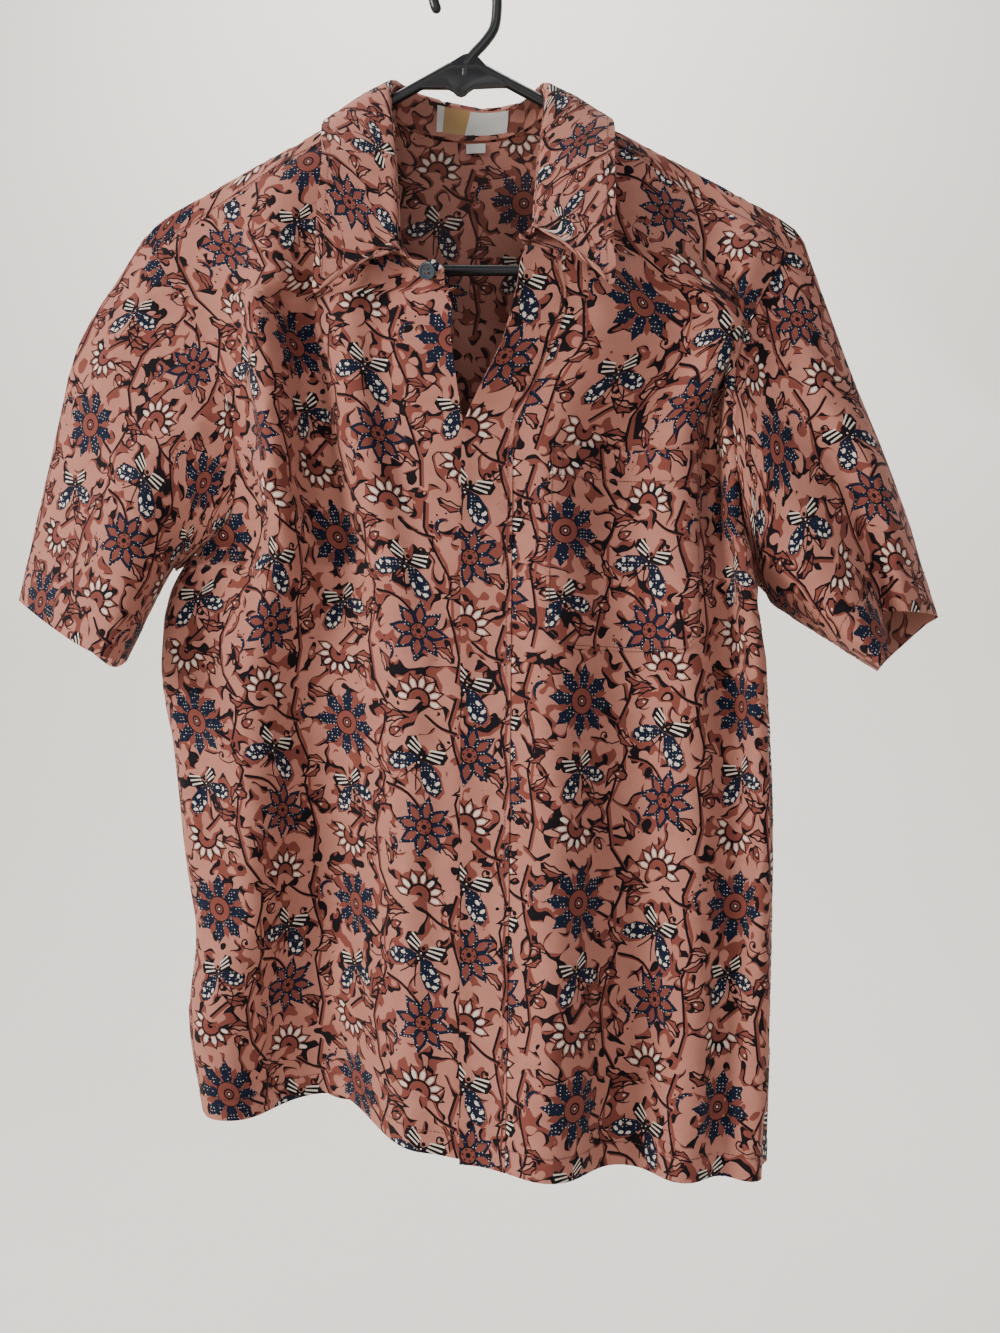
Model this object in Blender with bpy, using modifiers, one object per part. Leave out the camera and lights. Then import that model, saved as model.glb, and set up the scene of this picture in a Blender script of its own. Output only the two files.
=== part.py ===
"""Short-sleeve shirt with a turn-down collar, hanging on a plastic hanger.

Metres, +Z up, X to the viewer's right, Y away from the viewer. The origin is the inner top of the
hanger's hook, where a rail or a nail carries it. Cloth pieces are drawn flat first, as they are cut:
u runs across from the centre front or back and v runs down from the highest point of the shoulder.
Each row of the cut is then laid into a level section of the hanging shirt: its two ends are known,
and the folds between them are turns of the cloth whose gain is solved so that no width is lost.
"""

import math

import bmesh
import bpy
import numpy as np
from mathutils import Vector

MM = 0.001

# ---- driving sizes, mm -------------------------------------------------------------------
WALL = 1.2                   # cloth wall
SEAM_GAP = 0.35              # left open between two pieces at a seam
SIDE_GAP, SHOULDER_GAP = 1.5, 0.6    # the same where the seam bends
NECK_TOP_Z = -95.6           # highest point of the shoulder seam line below the origin
NECK_HALF = 70.0             # half width of the neck at the shoulders
SHOULDER_HALF = 231.0        # centre to sleeve seam
SHOULDER_SLOPE = 0.543
HANG_TILT = 0.038            # the hanger leans, and the cloth shears with it
CHEST_HALF = 270.0           # half of one front or back, cut flat
TIP_V = 92.2                 # the shoulder line's drop at the sleeve seam
ARMPIT_V = 337.0
HEM_V = 728.0
RIDGE_LIFT = 8.0             # cloth lost in rounding over the hanger's arm
ROUND_OVER = 7.0             # the cloth rounds over the arm, half its width
BACK_NECK_DROP = 22.0
RIGHT_NECK_V, LEFT_NECK_V = 150.0, 128.0   # how deep each front's neckline is cut
PLACKET_IN, PLACKET_OUT = -18.0, 16.0
POCKET = dict(u0=41.0, u1=153.0, v0=252.0, v1=387.0, chamfer=11.0)
BUTTON = dict(station=0.6, radius=5.8, thick=2.4)
LABEL = dict(low=0.16, high=0.92)
TAG = dict(half=7.0, drop=7.0)
ROD = 3.6                    # hanger: radius of the hook's rod
ARM = 3.8                    # radius of its arms and bar
HOOK = 22.4                  # radius of the hook's bend, to the rod's centre line
ARM_SLOPE = 0.543
BAR_Z = -212.0
HANGER_HALF = 200.0


def table(columns, rows):
    """A named-column table: each column becomes an array."""
    data = np.array([row for row in rows], dtype=float)
    return {name: data[:, i] for i, name in enumerate(columns.split())}


# Flat cut of the armholes: distance of the seam from the centre line at each height.
FRONT_ARMHOLE = table("v u", [(117, 222), (156, 213), (190, 207), (220, 204), (250, 205),
                              (280, 212), (305, 226), (325, 250), (ARMPIT_V, CHEST_HALF)])
BACK_ARMHOLE = table("v u", [(53, 222), (TIP_V, 231), (124, 224), (156, 216), (190, 212), (250, 212),
                             (280, 218), (305, 232), (325, 252), (ARMPIT_V, CHEST_HALF)])

# Level sections of the hanging shirt: where each row of a panel starts and ends, seen from above.
# "in" is the neckline or the front edge, "out" is the sleeve seam, then the side seam.
RIGHT_FRONT_RINGS = table("v in_x in_y out_x out_y", [
    (0, -70, 0, -70, 0), (60, -68, -26, -180, 0), (TIP_V, -63, -34, -231, 0),
    (122, -48, -42, -208, -14), (150, -8, -50, -195, -20), (185, -3, -52, -178, -27),
    (235, 4, -50, -160, -30), (278, 12, -50, -158, -26), (307, 20, -50, -166, -20),
    (ARMPIT_V, 28, -50, -201, -4), (404, 36, -52, -220, 0), (472, 38, -54, -211, 2),
    (550, 38, -56, -203, 4), (600, 38, -57, -196, 5), (660, 38, -58, -201, 5), (740, 38, -58, -187, 5)])
LEFT_FRONT_RINGS = table("v in_x in_y out_x out_y", [
    (0, 70, 0, 70, 0), (60, 68, -26, 180, 0), (TIP_V, 65, -38, 231, 0),
    (118, 55, -58, 209, -14), (130, 48, -72, 204, -16), (157, 42, -74, 196, -22),
    (190, 32, -70, 187, -27), (220, 15, -58, 183, -30), (240, 6, -54, 183, -30),
    (265, 4, -53, 186, -27), (298, 4, -53, 191, -20), (ARMPIT_V, 4, -54, 199, -5),
    (365, 4, -55, 204, -3), (458, 4, -57, 211, -3), (621, 4, -60, 210, -5), (740, 4, -61, 206, -6)])
BACK_RINGS = table("v out_left out_right out_y bulge", [
    (0, -70, 70, 0, 30), (60, -180, 180, 0, 42), (TIP_V, -231, 231, 0, 44), (122, -210, 208, 12, 38),
    (156, -194, 192, 18, 34), (190, -183, 182, 21, 31), (250, -175, 176, 20, 32),
    (300, -181, 182, 10, 42), (ARMPIT_V, -200.5, 198.5, -3, 54), (404, -219.5, 206.5, 1, 51),
    (472, -210.5, 210.5, 2, 48), (621, -197, 209.5, 3, 50), (740, -186.5, 205.5, 3, 52)])

# Folds: a ridge at u, its half width, and how far the cloth turns away on each side of it,
# degrees, at the shoulder, chest, waist and hem. A negative swing is a trough.
FOLD_COLUMNS = "u_chest u_hem w_chest w_hem shoulder chest waist hem"
FOLD_HEIGHTS = (20.0, 250.0, 420.0, HEM_V)
GAIN_HEIGHTS = (60.0, 120.0, 190.0, 250.0, 420.0, 500.0, 580.0, 660.0, HEM_V)
RIGHT_FRONT_FOLDS = table(FOLD_COLUMNS, [
    (-150, -226, 20, 24, 14, 60, 44, 24), (-108, -160, 24, 50, -8, -32, -40, -44),
    (-60, -50, 18, 20, 4, 14, 18, 12), (-34, -34, 9, 9, 0, -14, -16, -14)])
LEFT_FRONT_FOLDS = table(FOLD_COLUMNS, [
    (46, 52, 16, 28, 6, 10, 22, 56), (92, 112, 24, 26, -6, -10, -16, -46),
    (136, 165, 16, 18, 18, 12, 12, 42), (174, 200, 15, 13, -16, -34, -38, -36),
    (202, 226, 15, 13, 18, 54, 50, 36)])
BACK_FOLDS = table(FOLD_COLUMNS, [
    (-230, -226, 15, 17, 0, 30, 44, 42), (-178, -188, 18, 20, 4, 34, 42, 50),
    (-128, -132, 26, 30, -3, -26, -34, -44), (-66, -50, 20, 24, 3, 20, 32, 44),
    (-8, 12, 30, 26, -2, -16, -28, -46), (58, 66, 18, 20, 3, 24, 36, 50),
    (112, 118, 26, 24, -3, -26, -36, -46), (172, 186, 18, 24, 4, 36, 44, 44),
    (232, 234, 14, 15, 0, 30, 42, 38)])
# How the cloth turns round to the side seams: from u on, over a length, degrees.
SIDE_TURNS = {"right": (-252.0, 9.0, 64.0), "left": (222.0, 11.0, 66.0), "back": (252.0, 8.0, 66.0)}


def smooth_at(knots, values, at):
    """A smooth curve through a table's column, flat beyond its ends."""
    slopes = np.gradient(values, knots)
    at = np.clip(np.asarray(at, dtype=float), knots[0], knots[-1])
    i = np.clip(np.searchsorted(knots, at, side="right") - 1, 0, len(knots) - 2)
    span = knots[i + 1] - knots[i]
    q = (at - knots[i]) / span
    return ((2 * q**3 - 3 * q**2 + 1) * values[i] + (q**3 - 2 * q**2 + q) * span * slopes[i]
            + (3 * q**2 - 2 * q**3) * values[i + 1] + (q**3 - q**2) * span * slopes[i + 1])


def ease(q):
    q = min(max(q, 0.0), 1.0)
    return q * q * (3 - 2 * q)


def ridge_v(u):
    """How far the shoulder line has dropped, u across from the centre."""
    beyond = max(abs(u) - 205.0, 0.0)
    return (abs(u) - NECK_HALF) * SHOULDER_SLOPE + beyond**2 / 140.0


def ridge_u(v):
    """The distance from the centre at which the shoulder line has dropped by v."""
    low, high = 0.0, 260.0
    for _ in range(40):
        mid = (low + high) / 2
        low, high = (mid, high) if ridge_v(mid) < v else (low, mid)
    return low


class Panel:
    """One body panel: its cut edges, its rings and its folds."""

    STEP = 2.0

    def __init__(self, side, rings, folds, armhole):
        self.side, self.rings, self.folds, self.armhole = side, rings, folds, armhole
        self.rows, self.gains = {}, None

    def out_u(self, v):
        """Distance from the centre line of the outer edge: shoulder line, sleeve seam, side seam."""
        if v < TIP_V:
            return min(ridge_u(v), SHOULDER_HALF)
        if v < self.armhole["v"][0]:
            return float(np.interp(v, [TIP_V, self.armhole["v"][0]],
                                   [SHOULDER_HALF, self.armhole["u"][0]]))
        return float(smooth_at(self.armhole["v"], self.armhole["u"], v))

    def in_u(self, v):
        """The neckline, then the front edge, measured from the centre toward this panel."""
        depth, edge = (RIGHT_NECK_V, -18.0) if self.side == "right" else (LEFT_NECK_V, PLACKET_IN)
        if v >= depth:
            return edge
        return edge + (NECK_HALF - edge) * math.sqrt(max(1 - (max(v - 20.0, 0) / (depth - 20))**2, 0))

    def turns(self, u, v, gain):
        """The cloth's turn at each u of a row, radians."""
        down = (v - FOLD_HEIGHTS[1]) / (HEM_V - FOLD_HEIGHTS[1])
        angle = np.zeros_like(u)
        for k in range(len(self.folds["w_hem"])):
            f = {name: column[k] for name, column in self.folds.items()}
            at = f["u_chest"] + (f["u_hem"] - f["u_chest"]) * max(down, -0.35)
            width = f["w_chest"] + (f["w_hem"] - f["w_chest"]) * max(down, 0.0)
            swing = float(smooth_at(np.array(FOLD_HEIGHTS), np.array(
                [f["shoulder"], f["chest"], f["waist"], f["hem"]]), v))
            q = (u - at) / width
            angle += math.radians(swing) * q * np.exp(0.5 - q * q / 2)
        angle = 1.3 * np.tanh(gain * angle / 1.3)
        start, length, turn = SIDE_TURNS[self.side]
        turn = math.radians(turn) * ease((v - 270.0) / 70.0)
        after = turn * 0.5 * (1 + np.tanh((np.abs(u) - abs(start)) / length))
        if self.side == "back":
            return -angle - np.sign(u) * after
        return angle + after if self.side == "left" else angle - np.where(u < 0, after, 0)

    def row(self, v):
        """u, x and y along one level row, from its start to its end."""
        key = round(v * 4)
        if key not in self.rows:
            self.rows[key] = self.solve_row(key / 4)
        return self.rows[key]

    def ends(self, v):
        """Where the row starts and ends: u, x, y at both ends, and how far it bulges."""
        r = {name: float(smooth_at(self.rings["v"], column, v)) for name, column in self.rings.items()}
        out = self.out_u(v)
        if self.side == "right":
            return (-out, r["out_x"], r["out_y"]), (-self.in_u(v), r["in_x"], r["in_y"]), 0.0
        if self.side == "left":
            return (self.in_u(v), r["in_x"], r["in_y"]), (out, r["out_x"], r["out_y"]), 0.0
        made, w = [], ease((v - 300.0) / 30.0)    # down the side seams the back meets the fronts
        for sign, column, front in ((-1, "out_left", "right"), (1, "out_right", "left")):
            rings = FRONTS[front].rings
            x, y = (float(smooth_at(rings["v"], rings[c], v)) for c in ("out_x", "out_y"))
            made.append((sign * out, r[column] + (x - r[column]) * w,
                         r["out_y"] + (y + SIDE_GAP - r["out_y"]) * w))
        return made[0], made[1], r["bulge"]

    def across(self, u, v, gain):
        """The row's run across and in depth, when its folds have a gain."""
        angle = self.turns(u, v, gain)
        mid = (angle[1:] + angle[:-1]) / 2
        step = u[1] - u[0]
        return (np.concatenate([[0], np.cumsum(np.cos(mid)) * step]),
                np.concatenate([[0], np.cumsum(np.sin(mid)) * step]))

    def gain(self, v):
        """The folds' gain: solved at a few heights so that no width is lost, and smooth between."""
        if self.gains is None:
            self.gains = []
            for at in GAIN_HEIGHTS:
                (u0, x0, y0), (u1, x1, y1), _ = self.ends(at)
                u = np.linspace(u0, u1, 140)
                low, high = 0.0, 1.9
                for _ in range(24):
                    mid = (low + high) / 2
                    c, s = self.across(u, at, mid)
                    longer = math.hypot(c[-1], s[-1]) > math.hypot(x1 - x0, y1 - y0)
                    low, high = (mid, high) if longer else (low, mid)
                self.gains.append({60.0: 0.5, 120.0: 0.8}.get(at, low))
        return float(smooth_at(np.array(GAIN_HEIGHTS), np.array(self.gains), v))

    def solve_row(self, v):
        (u0, x0, y0), (u1, x1, y1), bulge = self.ends(v)
        u = np.linspace(u0, u1, max(int((u1 - u0) / self.STEP), 4) + 1)
        c, s = self.across(u, v, self.gain(v))
        q = (u - u0) / (u1 - u0)
        # What the folds do not take up is gathered toward the underarm.
        outer = np.clip((np.abs(u) - 130.0) / max(self.out_u(v) - 130.0, 1.0), 0, 1)
        outer = outer**2 * (3 - 2 * outer)
        excess = c[-1] - (x1 - x0)
        if self.side == "back":
            share = 0.5 + 0.5 * np.sign(u) * outer
        else:
            share = outer if self.side == "left" else 1 - outer
        if v < 170.0:                             # no such cloth up here: spread it evenly
            share = share + (q - share) * ease((170.0 - v) / 40.0)
        x = x0 + c - excess * share
        y = y0 + s + q * (y1 - y0 - s[-1]) + bulge * (1 - (2 * q - 1)**4)
        return u, x, y

    def point(self, u, v):
        """A point of the panel's outer face, mm; over the shoulder line it comes down the other side."""
        t = v - ridge_v(u)
        if self.side == "back" and t < 0:
            front = FRONTS["right"] if u < 0 else FRONTS["left"]
            return front.point(u, ridge_v(u) - t)
        us, xs, ys = self.row(v)
        x, y = float(np.interp(u, us, xs)), float(np.interp(u, us, ys))
        for beyond, a, b in ((u - us[-1], -1, -2), (us[0] - u, 0, 1)):
            if beyond > 0:                        # a little past the row's end, straight on
                x += (xs[a] - xs[b]) / abs(us[a] - us[b]) * beyond
                y += (ys[a] - ys[b]) / abs(us[a] - us[b]) * beyond
        x = u + (x - u) * ease(t / 100.0)         # at the shoulder line the cloth lies on the arm
        y *= math.sin(min(max(t, 0) / 48.0, 1.0) * math.pi / 2)
        over = ROUND_OVER * (1 - math.exp(-max(t, 0) / 4.0)) * math.exp(-(t / 60.0)**2)
        y += over if self.side == "back" else -over
        lift = RIDGE_LIFT * (1 - math.exp(-max(t, 0) / 12.0))
        if self.side == "right":                  # this front rides up where its fold is deepest
            lift += 16.0 * ease(v / HEM_V) * max(v / HEM_V, 0)**2 * math.exp(-((u + 125) / 52)**2)
        z = NECK_TOP_Z - v + lift - HANG_TILT * x
        return Vector((x, y, z))


FRONTS = {"right": Panel("right", RIGHT_FRONT_RINGS, RIGHT_FRONT_FOLDS, FRONT_ARMHOLE),
          "left": Panel("left", LEFT_FRONT_RINGS, LEFT_FRONT_FOLDS, FRONT_ARMHOLE)}
BACK = Panel("back", BACK_RINGS, BACK_FOLDS, BACK_ARMHOLE)


def shoulder_seam(u):
    """How far in front of the shoulder line its seam lies."""
    return 20.0 + 12.0 * (abs(u) - NECK_HALF) / (SHOULDER_HALF - NECK_HALF)


def spread(*stops):
    """Values from stop to stop: (value, steps to the next), and a last value."""
    out = []
    for (a, n), b in zip(stops[:-1], [s[0] if isinstance(s, tuple) else s for s in stops[1:]]):
        out += [a + (b - a) * i / n for i in range(n)]
    return out + [stops[-1]]


def front_uv(c, r, start, depth, middle):
    """Cut position of a front's grid node: c across from the front edge, r down from the top."""
    top_out = 222.0
    top_mid = start + (middle - start) * (top_out - start) / (CHEST_HALF - start)
    mid = top_mid + (middle - top_mid) * ease(r / 250.0)
    if c <= middle:
        u_top = start + (c - start) * (top_mid - start) / (middle - start)
    else:
        u_top = top_mid + (c - middle) * (top_out - top_mid) / (CHEST_HALF - middle)
    if u_top >= NECK_HALF:
        v_top = ridge_v(u_top) + shoulder_seam(u_top) + SHOULDER_GAP
    else:
        q = (u_top + 18.0) / (NECK_HALF + 18.0)
        v_top = 20.0 + (depth - 20.0) * math.sqrt(max(1 - q * q, 0)) + SEAM_GAP
    v = v_top + (ARMPIT_V - v_top) * r / ARMPIT_V if r < ARMPIT_V else r
    out = float(smooth_at(FRONT_ARMHOLE["v"], FRONT_ARMHOLE["u"], max(v, 117.0)))
    out -= SEAM_GAP / 2 if c == CHEST_HALF else 0
    if c <= middle:
        return start + (c - start) * (mid - start) / (middle - start), v
    return mid + (c - middle) * (out - mid) / (CHEST_HALF - middle), v


def back_uv(c, r):
    """Cut position of a back grid node: c across from the centre; r is 0 at the top edge, 1 on the
    shoulder line, 2 at the underarm, and below that the height itself."""
    side = 1 if c >= 0 else -1
    c = abs(c)
    below = min(max(r - 1.0, 0.0), 1.0)
    out = 222.0 + 9.0 * r if r <= 1.0 else float(smooth_at(
        BACK_ARMHOLE["v"], BACK_ARMHOLE["u"], TIP_V + (ARMPIT_V - TIP_V) * below))
    out -= SEAM_GAP / 2 if c == CHEST_HALF else 0
    u = c if c < NECK_HALF else NECK_HALF + (c - NECK_HALF) * (out - NECK_HALF) / (CHEST_HALF - NECK_HALF)
    if r > 2.0:
        return side * u, r
    if c < NECK_HALF:
        first = BACK_NECK_DROP * (1 - (c / NECK_HALF)**2) + SEAM_GAP
    else:
        first = ridge_v(u) - shoulder_seam(u) * max(1.0 - r, 0.0)
    return side * u, first + (ARMPIT_V - first) * below


# ---- making objects ----------------------------------------------------------------------
for old in list(bpy.data.objects):
    bpy.data.objects.remove(old, do_unlink=True)
collection = bpy.data.collections.new("shirt_on_hanger")
bpy.context.scene.collection.children.link(collection)


def material(name, color, roughness, metallic=0.0):
    made = bpy.data.materials.new(name)
    made.use_nodes = True
    shader = made.node_tree.nodes["Principled BSDF"]
    shader.inputs["Base Color"].default_value = (*color, 1)
    shader.inputs["Roughness"].default_value = roughness
    shader.inputs["Metallic"].default_value = metallic
    return made


PINK = (0.56, 0.27, 0.20)
PRINTED = {name: material(name, PINK, 0.85) for name in
           ("cloth_fronts", "cloth_back", "cloth_sleeves", "cloth_collar", "cloth_trim")}
BLACK = material("hanger_plastic", (0.012, 0.012, 0.013), 0.35)
SHELL = material("button_shell", (0.05, 0.08, 0.10), 0.3)
SATIN = material("label_satin", (0.75, 0.73, 0.68), 0.5)


def add_object(name, mesh, mat):
    obj = bpy.data.objects.new(name, mesh)
    collection.objects.link(obj)
    mesh.materials.append(mat)
    return obj


def sheet(name, grid, mat, thickness=WALL, closed=False, outward=None):
    """A cloth wall: a grid of points, mm, thickened inward by a Solidify modifier."""
    bm = bmesh.new()
    rows = [[p if p is None else bm.verts.new(p * MM) for p in line] for line in grid]
    width = len(rows[0])
    for a, b in zip(rows[:-1], rows[1:]):
        for j in range(width if closed else width - 1):
            k = (j + 1) % width
            if a[j] is not None and a[k] is not None:
                bm.faces.new((a[j], b[j], b[k], a[k]))
    bm.normal_update()
    middle = rows[len(rows) // 2][width // 2]
    if outward is not None and middle.normal.dot(outward) < 0:
        bmesh.ops.reverse_faces(bm, faces=bm.faces)
    mesh = bpy.data.meshes.new(name)
    bm.to_mesh(mesh)
    bm.free()
    mesh.shade_smooth()
    obj = add_object(name, mesh, mat)
    wall = obj.modifiers.new("wall", "SOLIDIFY")
    wall.thickness = thickness * MM
    wall.offset = -1.0
    wall.use_even_offset = False
    return obj


FRONT, REAR = Vector((0, -1, 0)), Vector((0, 1, 0))


def moved_out(grid, distance):
    """The same grid, each point moved along the surface's own normal, toward the viewer."""
    out = []
    for i, line in enumerate(grid):
        made = []
        for j, p in enumerate(line):
            down = grid[min(i + 1, len(grid) - 1)][j] - grid[max(i - 1, 0)][j]
            over = line[min(j + 1, len(line) - 1)] - line[max(j - 1, 0)]
            normal = over.cross(down).normalized()
            if normal.y > 0:
                normal = -normal
            made.append(p + normal * distance)
        out.append(made)
    return out


# Fronts. The wearer's right front, at the viewer's left, runs under the placket.
ROWS_TOP = spread((0.0, 10), POCKET["v0"])
ROWS_LOW = spread((POCKET["v1"], 14), HEM_V)
front_rows = ROWS_TOP[:-1] + spread((POCKET["v0"], 5), POCKET["v1"])[:-1] + ROWS_LOW


def right_front_point(c, r):
    u, v = front_uv(c, r, -18.0, RIGHT_NECK_V, POCKET["u1"])
    p = FRONTS["right"].point(-u, v)
    under = ease((40.0 - u) / 20.0) * ease((v - 205.0) / 40.0)
    return p + Vector((0, 4.6 * under, 0))


def left_front_point(c, r, start=PLACKET_OUT + SEAM_GAP):
    u, v = front_uv(c, r, start, LEFT_NECK_V, POCKET["u1"])
    return FRONTS["left"].point(u, v)


right_columns = spread((-18.0, 3), (18.0, 3), (60.0, 8), (POCKET["u1"], 8), CHEST_HALF)
sheet("front_right", [[right_front_point(c, r) for c in right_columns] for r in front_rows],
      PRINTED["cloth_fronts"], outward=FRONT)
left_columns = spread((PLACKET_OUT + SEAM_GAP, 2), (POCKET["u0"], 9), (POCKET["u1"], 10), CHEST_HALF)
left_grid = [[left_front_point(c, r) for c in left_columns] for r in front_rows]
sheet("front_left", left_grid, PRINTED["cloth_fronts"], outward=FRONT)


def placket_point(c, r):
    """The placket follows the front edge; its top meets the collar stand."""
    q = (c + 18.0) / (NECK_HALF + 18.0)
    v_top = 20.0 + (LEFT_NECK_V - 20.0) * math.sqrt(max(1 - q * q, 0)) + SEAM_GAP
    v = v_top + (ARMPIT_V - v_top) * r / ARMPIT_V if r < ARMPIT_V else r
    return FRONTS["left"].point(c, v)


placket_columns = spread((PLACKET_IN, 3), PLACKET_OUT)
sheet("placket", [[placket_point(c, r) for c in placket_columns] for r in front_rows],
      PRINTED["cloth_trim"], thickness=2.0, outward=FRONT)

# Chest pocket, on the wearer's left: the panel's own points moved out.
i0, i1 = front_rows.index(POCKET["v0"]), front_rows.index(POCKET["v1"])
j0, j1 = left_columns.index(POCKET["u0"]), left_columns.index(POCKET["u1"])
pocket_grid = [line[j0:j1 + 1] for line in left_grid[i0:i1 + 1]]
pocket_grid = moved_out(pocket_grid, SEAM_GAP + 1.3)
for corner, inner in ((0, 1), (-1, -2)):
    low, above = pocket_grid[-1], pocket_grid[-2]
    low[corner] = low[inner].lerp(above[corner], 0.5) + Vector((0, -0.8, 0))
sheet("chest_pocket", pocket_grid, PRINTED["cloth_trim"], thickness=0.9, outward=FRONT)

# Back, cut on over the shoulders to the seams at the front.
back_half = spread((0.0, 3), (42.0, 3), (NECK_HALF, 10), CHEST_HALF)
back_columns = [-c for c in reversed(back_half)][:-1] + back_half
back_rows = spread((0.0, 6), (1.0, 4), (1.12, 10), 2.0)[:-1] + spread((ARMPIT_V, 12), HEM_V - 3)
sheet("back", [[BACK.point(*back_uv(c, r)) if r >= 1.0 or abs(c) >= NECK_HALF else None
                for c in back_columns] for r in back_rows], PRINTED["cloth_back"], outward=REAR)

# ---- sleeves -----------------------------------------------------------------------------
# Each line runs from the armhole to the cuff: where it leaves the armhole (height of the cut, front
# or back), then where it passes at mid sleeve and at the cuff. "upper" follows the outer fold.
SLEEVE_COLUMNS = "arm_v arm_side fold mid_x mid_y mid_z cuff_x cuff_y cuff_z"
RIGHT_SLEEVE = table(SLEEVE_COLUMNS, [
    (TIP_V, -1, 1.0, -308, 3, -354, -329, 5, -441),
    (130, -1, 0.8, -268, -28, -365, -294, -34, -457),
    (190, -1, 0.5, -228, -50, -379, -258, -62, -474),
    (250, -1, 0.2, -206, -44, -394, -235, -72, -483),
    (305, -1, 0.0, -204, -22, -412, -232, -44, -484),
    (ARMPIT_V, -1, 0.0, -214, -2, -425, -244, -8, -486),
    (300, 1, 0.0, -226, 26, -412, -268, 26, -489),
    (230, 1, 0.4, -246, 42, -384, -297, 42, -472),
    (150, 1, 0.8, -284, 32, -362, -317, 30, -456)])
LEFT_SLEEVE = table(SLEEVE_COLUMNS, [
    (TIP_V, -1, 1.0, 294, 5, -367, 322, 10, -455),
    (130, -1, 0.8, 279, -24, -372, 297, -22, -453),
    (190, -1, 0.5, 262, -14, -374, 282, -14, -455),
    (250, -1, 0.2, 232, -36, -395, 279, -48, -475),
    (305, -1, 0.0, 209, -32, -422, 273, -64, -487),
    (ARMPIT_V, -1, 0.0, 217, -6, -452, 275, -38, -492),
    (300, 1, 0.0, 236, 30, -432, 288, 6, -485),
    (230, 1, 0.4, 262, 40, -400, 306, 32, -472),
    (150, 1, 0.8, 284, 30, -374, 317, 26, -461)])
UPPER_FOLD = {"right": Vector((-281, 2, -258)), "left": Vector((262, 3, -284))}
STATIONS = (0.0, 0.34, 0.68, 1.0)


def closed_curve(points, q):
    """A smooth closed curve through the points, q counts them."""
    n, i = len(points), int(q) % len(points)
    f = q - int(q)
    a, b, c, d = (points[(i + k) % n] for k in (-1, 0, 1, 2))
    return 0.5 * (2 * b + (c - a) * f + (2 * a - 5 * b + 4 * c - d) * f * f
                  + (3 * b - a - 3 * c + d) * f**3)


def armhole_point(side, lines, q, gap):
    """The torso's own edge at line q, moved out square to the seam by a gap."""
    n = len(lines["arm_v"])
    heights = list(lines["arm_v"]) + [TIP_V]
    i, f = int(q) % n, q - int(q)
    v = heights[i] + (heights[i + 1] - heights[i]) * f
    sign = -1 if side == "right" else 1
    cut, panel = (FRONT_ARMHOLE, FRONTS[side]) if i < 5 else (BACK_ARMHOLE, BACK)
    if i < 5 and v < 117.0:                # the back wraps over the shoulder to its seam here
        t = (v - TIP_V) / (117.0 - TIP_V) * 32.0
        u = SHOULDER_HALF - 9.0 * t / 32.0 + gap
        return BACK.point(sign * u, ridge_v(u) - t)
    u = float(smooth_at(cut["v"], cut["u"], v))
    along = Vector((float(smooth_at(cut["v"], cut["u"], v + 2)) - u, 2.0)).normalized()
    return panel.point(sign * (u + gap * along.y), v - gap * along.x)


def sleeve_point(side, lines, q, s):
    """q around from the outer fold by the front, s along from the armhole to the cuff."""
    n = len(lines["arm_v"])
    mids = [Vector((lines["mid_x"][k], lines["mid_y"][k], lines["mid_z"][k])) for k in range(n)]
    cuffs = [Vector((lines["cuff_x"][k], lines["cuff_y"][k], lines["cuff_z"][k])) for k in range(n)]
    arm = armhole_point(side, lines, q, 1.2)
    mid, cuff = closed_curve(mids, q), closed_curve(cuffs, q)
    fold = float(np.interp(q, range(n + 1), list(lines["fold"]) + [1.0]))
    shift = UPPER_FOLD[side] - (armhole_point(side, lines, 0.0, 1.2) + mids[0]) / 2
    upper = (arm + mid) / 2 + shift * fold
    stations = [arm, upper, mid, cuff]
    knots = np.array(STATIONS)
    return Vector([float(smooth_at(knots, np.array([p[k] for p in stations]), s)) for k in range(3)])


for side, lines, sign in (("right", RIGHT_SLEEVE, -1), ("left", LEFT_SLEEVE, 1)):
    around = [k / 4 for k in range(36)]
    along = [0.0, 0.1, 0.22, 0.36, 0.5, 0.64, 0.76, 0.88, 1.0]
    grid = [[sleeve_point(side, lines, q, s) for q in around] for s in along]
    made = sheet("sleeve_" + side, grid, PRINTED["cloth_sleeves"], closed=True)
    bm = bmesh.new()
    bm.from_mesh(made.data)
    bmesh.ops.recalc_face_normals(bm, faces=bm.faces)
    centre = sum((v.co for v in bm.verts), Vector()) / len(bm.verts)
    bm.faces.ensure_lookup_table()
    out = sum((f.calc_center_median() - centre).dot(f.normal) for f in bm.faces)
    if out < 0:
        bmesh.ops.reverse_faces(bm, faces=bm.faces)
    bm.to_mesh(made.data)
    bm.free()

# ---- collar ------------------------------------------------------------------------------
# Stations along the collar from the wearer's right front end round the back to the left front end.
# "turn" is where the station meets a front's neckline, as the angle of its ellipse, degrees.
# "top" is the stand's top and the leaf's fold, "edge" the leaf's free edge.
COLLAR = table("turn top_x top_y top_z edge_x edge_y edge_z", [
    (90, -9, -55, -214, 0, 0, 0),
    (68, -37, -54, -213, -84, -64, -231),
    (45, -43, -42, -172, -94, -54, -198),
    (20, -48, -26, -125, -94, -38, -145),
    (0, -54, -2, -79, -98, 0, -101),
    (0, -36, 30, -77, -66, 56, -112),
    (0, 6, 42, -84, 4, 68, -122),
    (0, 38, 31, -85, 70, 56, -120),
    (0, 58, -2, -86, 101, 0, -110),
    (20, 57, -30, -135, 105, -42, -152),
    (45, 55, -50, -178, 105, -66, -202),
    (68, 54, -68, -205, 96, -82, -236),
    (90, 44, -76, -206, 0, 0, 0)])
STATION = np.arange(13.0)
LEAF_FROM, LEAF_TO = 1.0, 11.0


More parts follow.
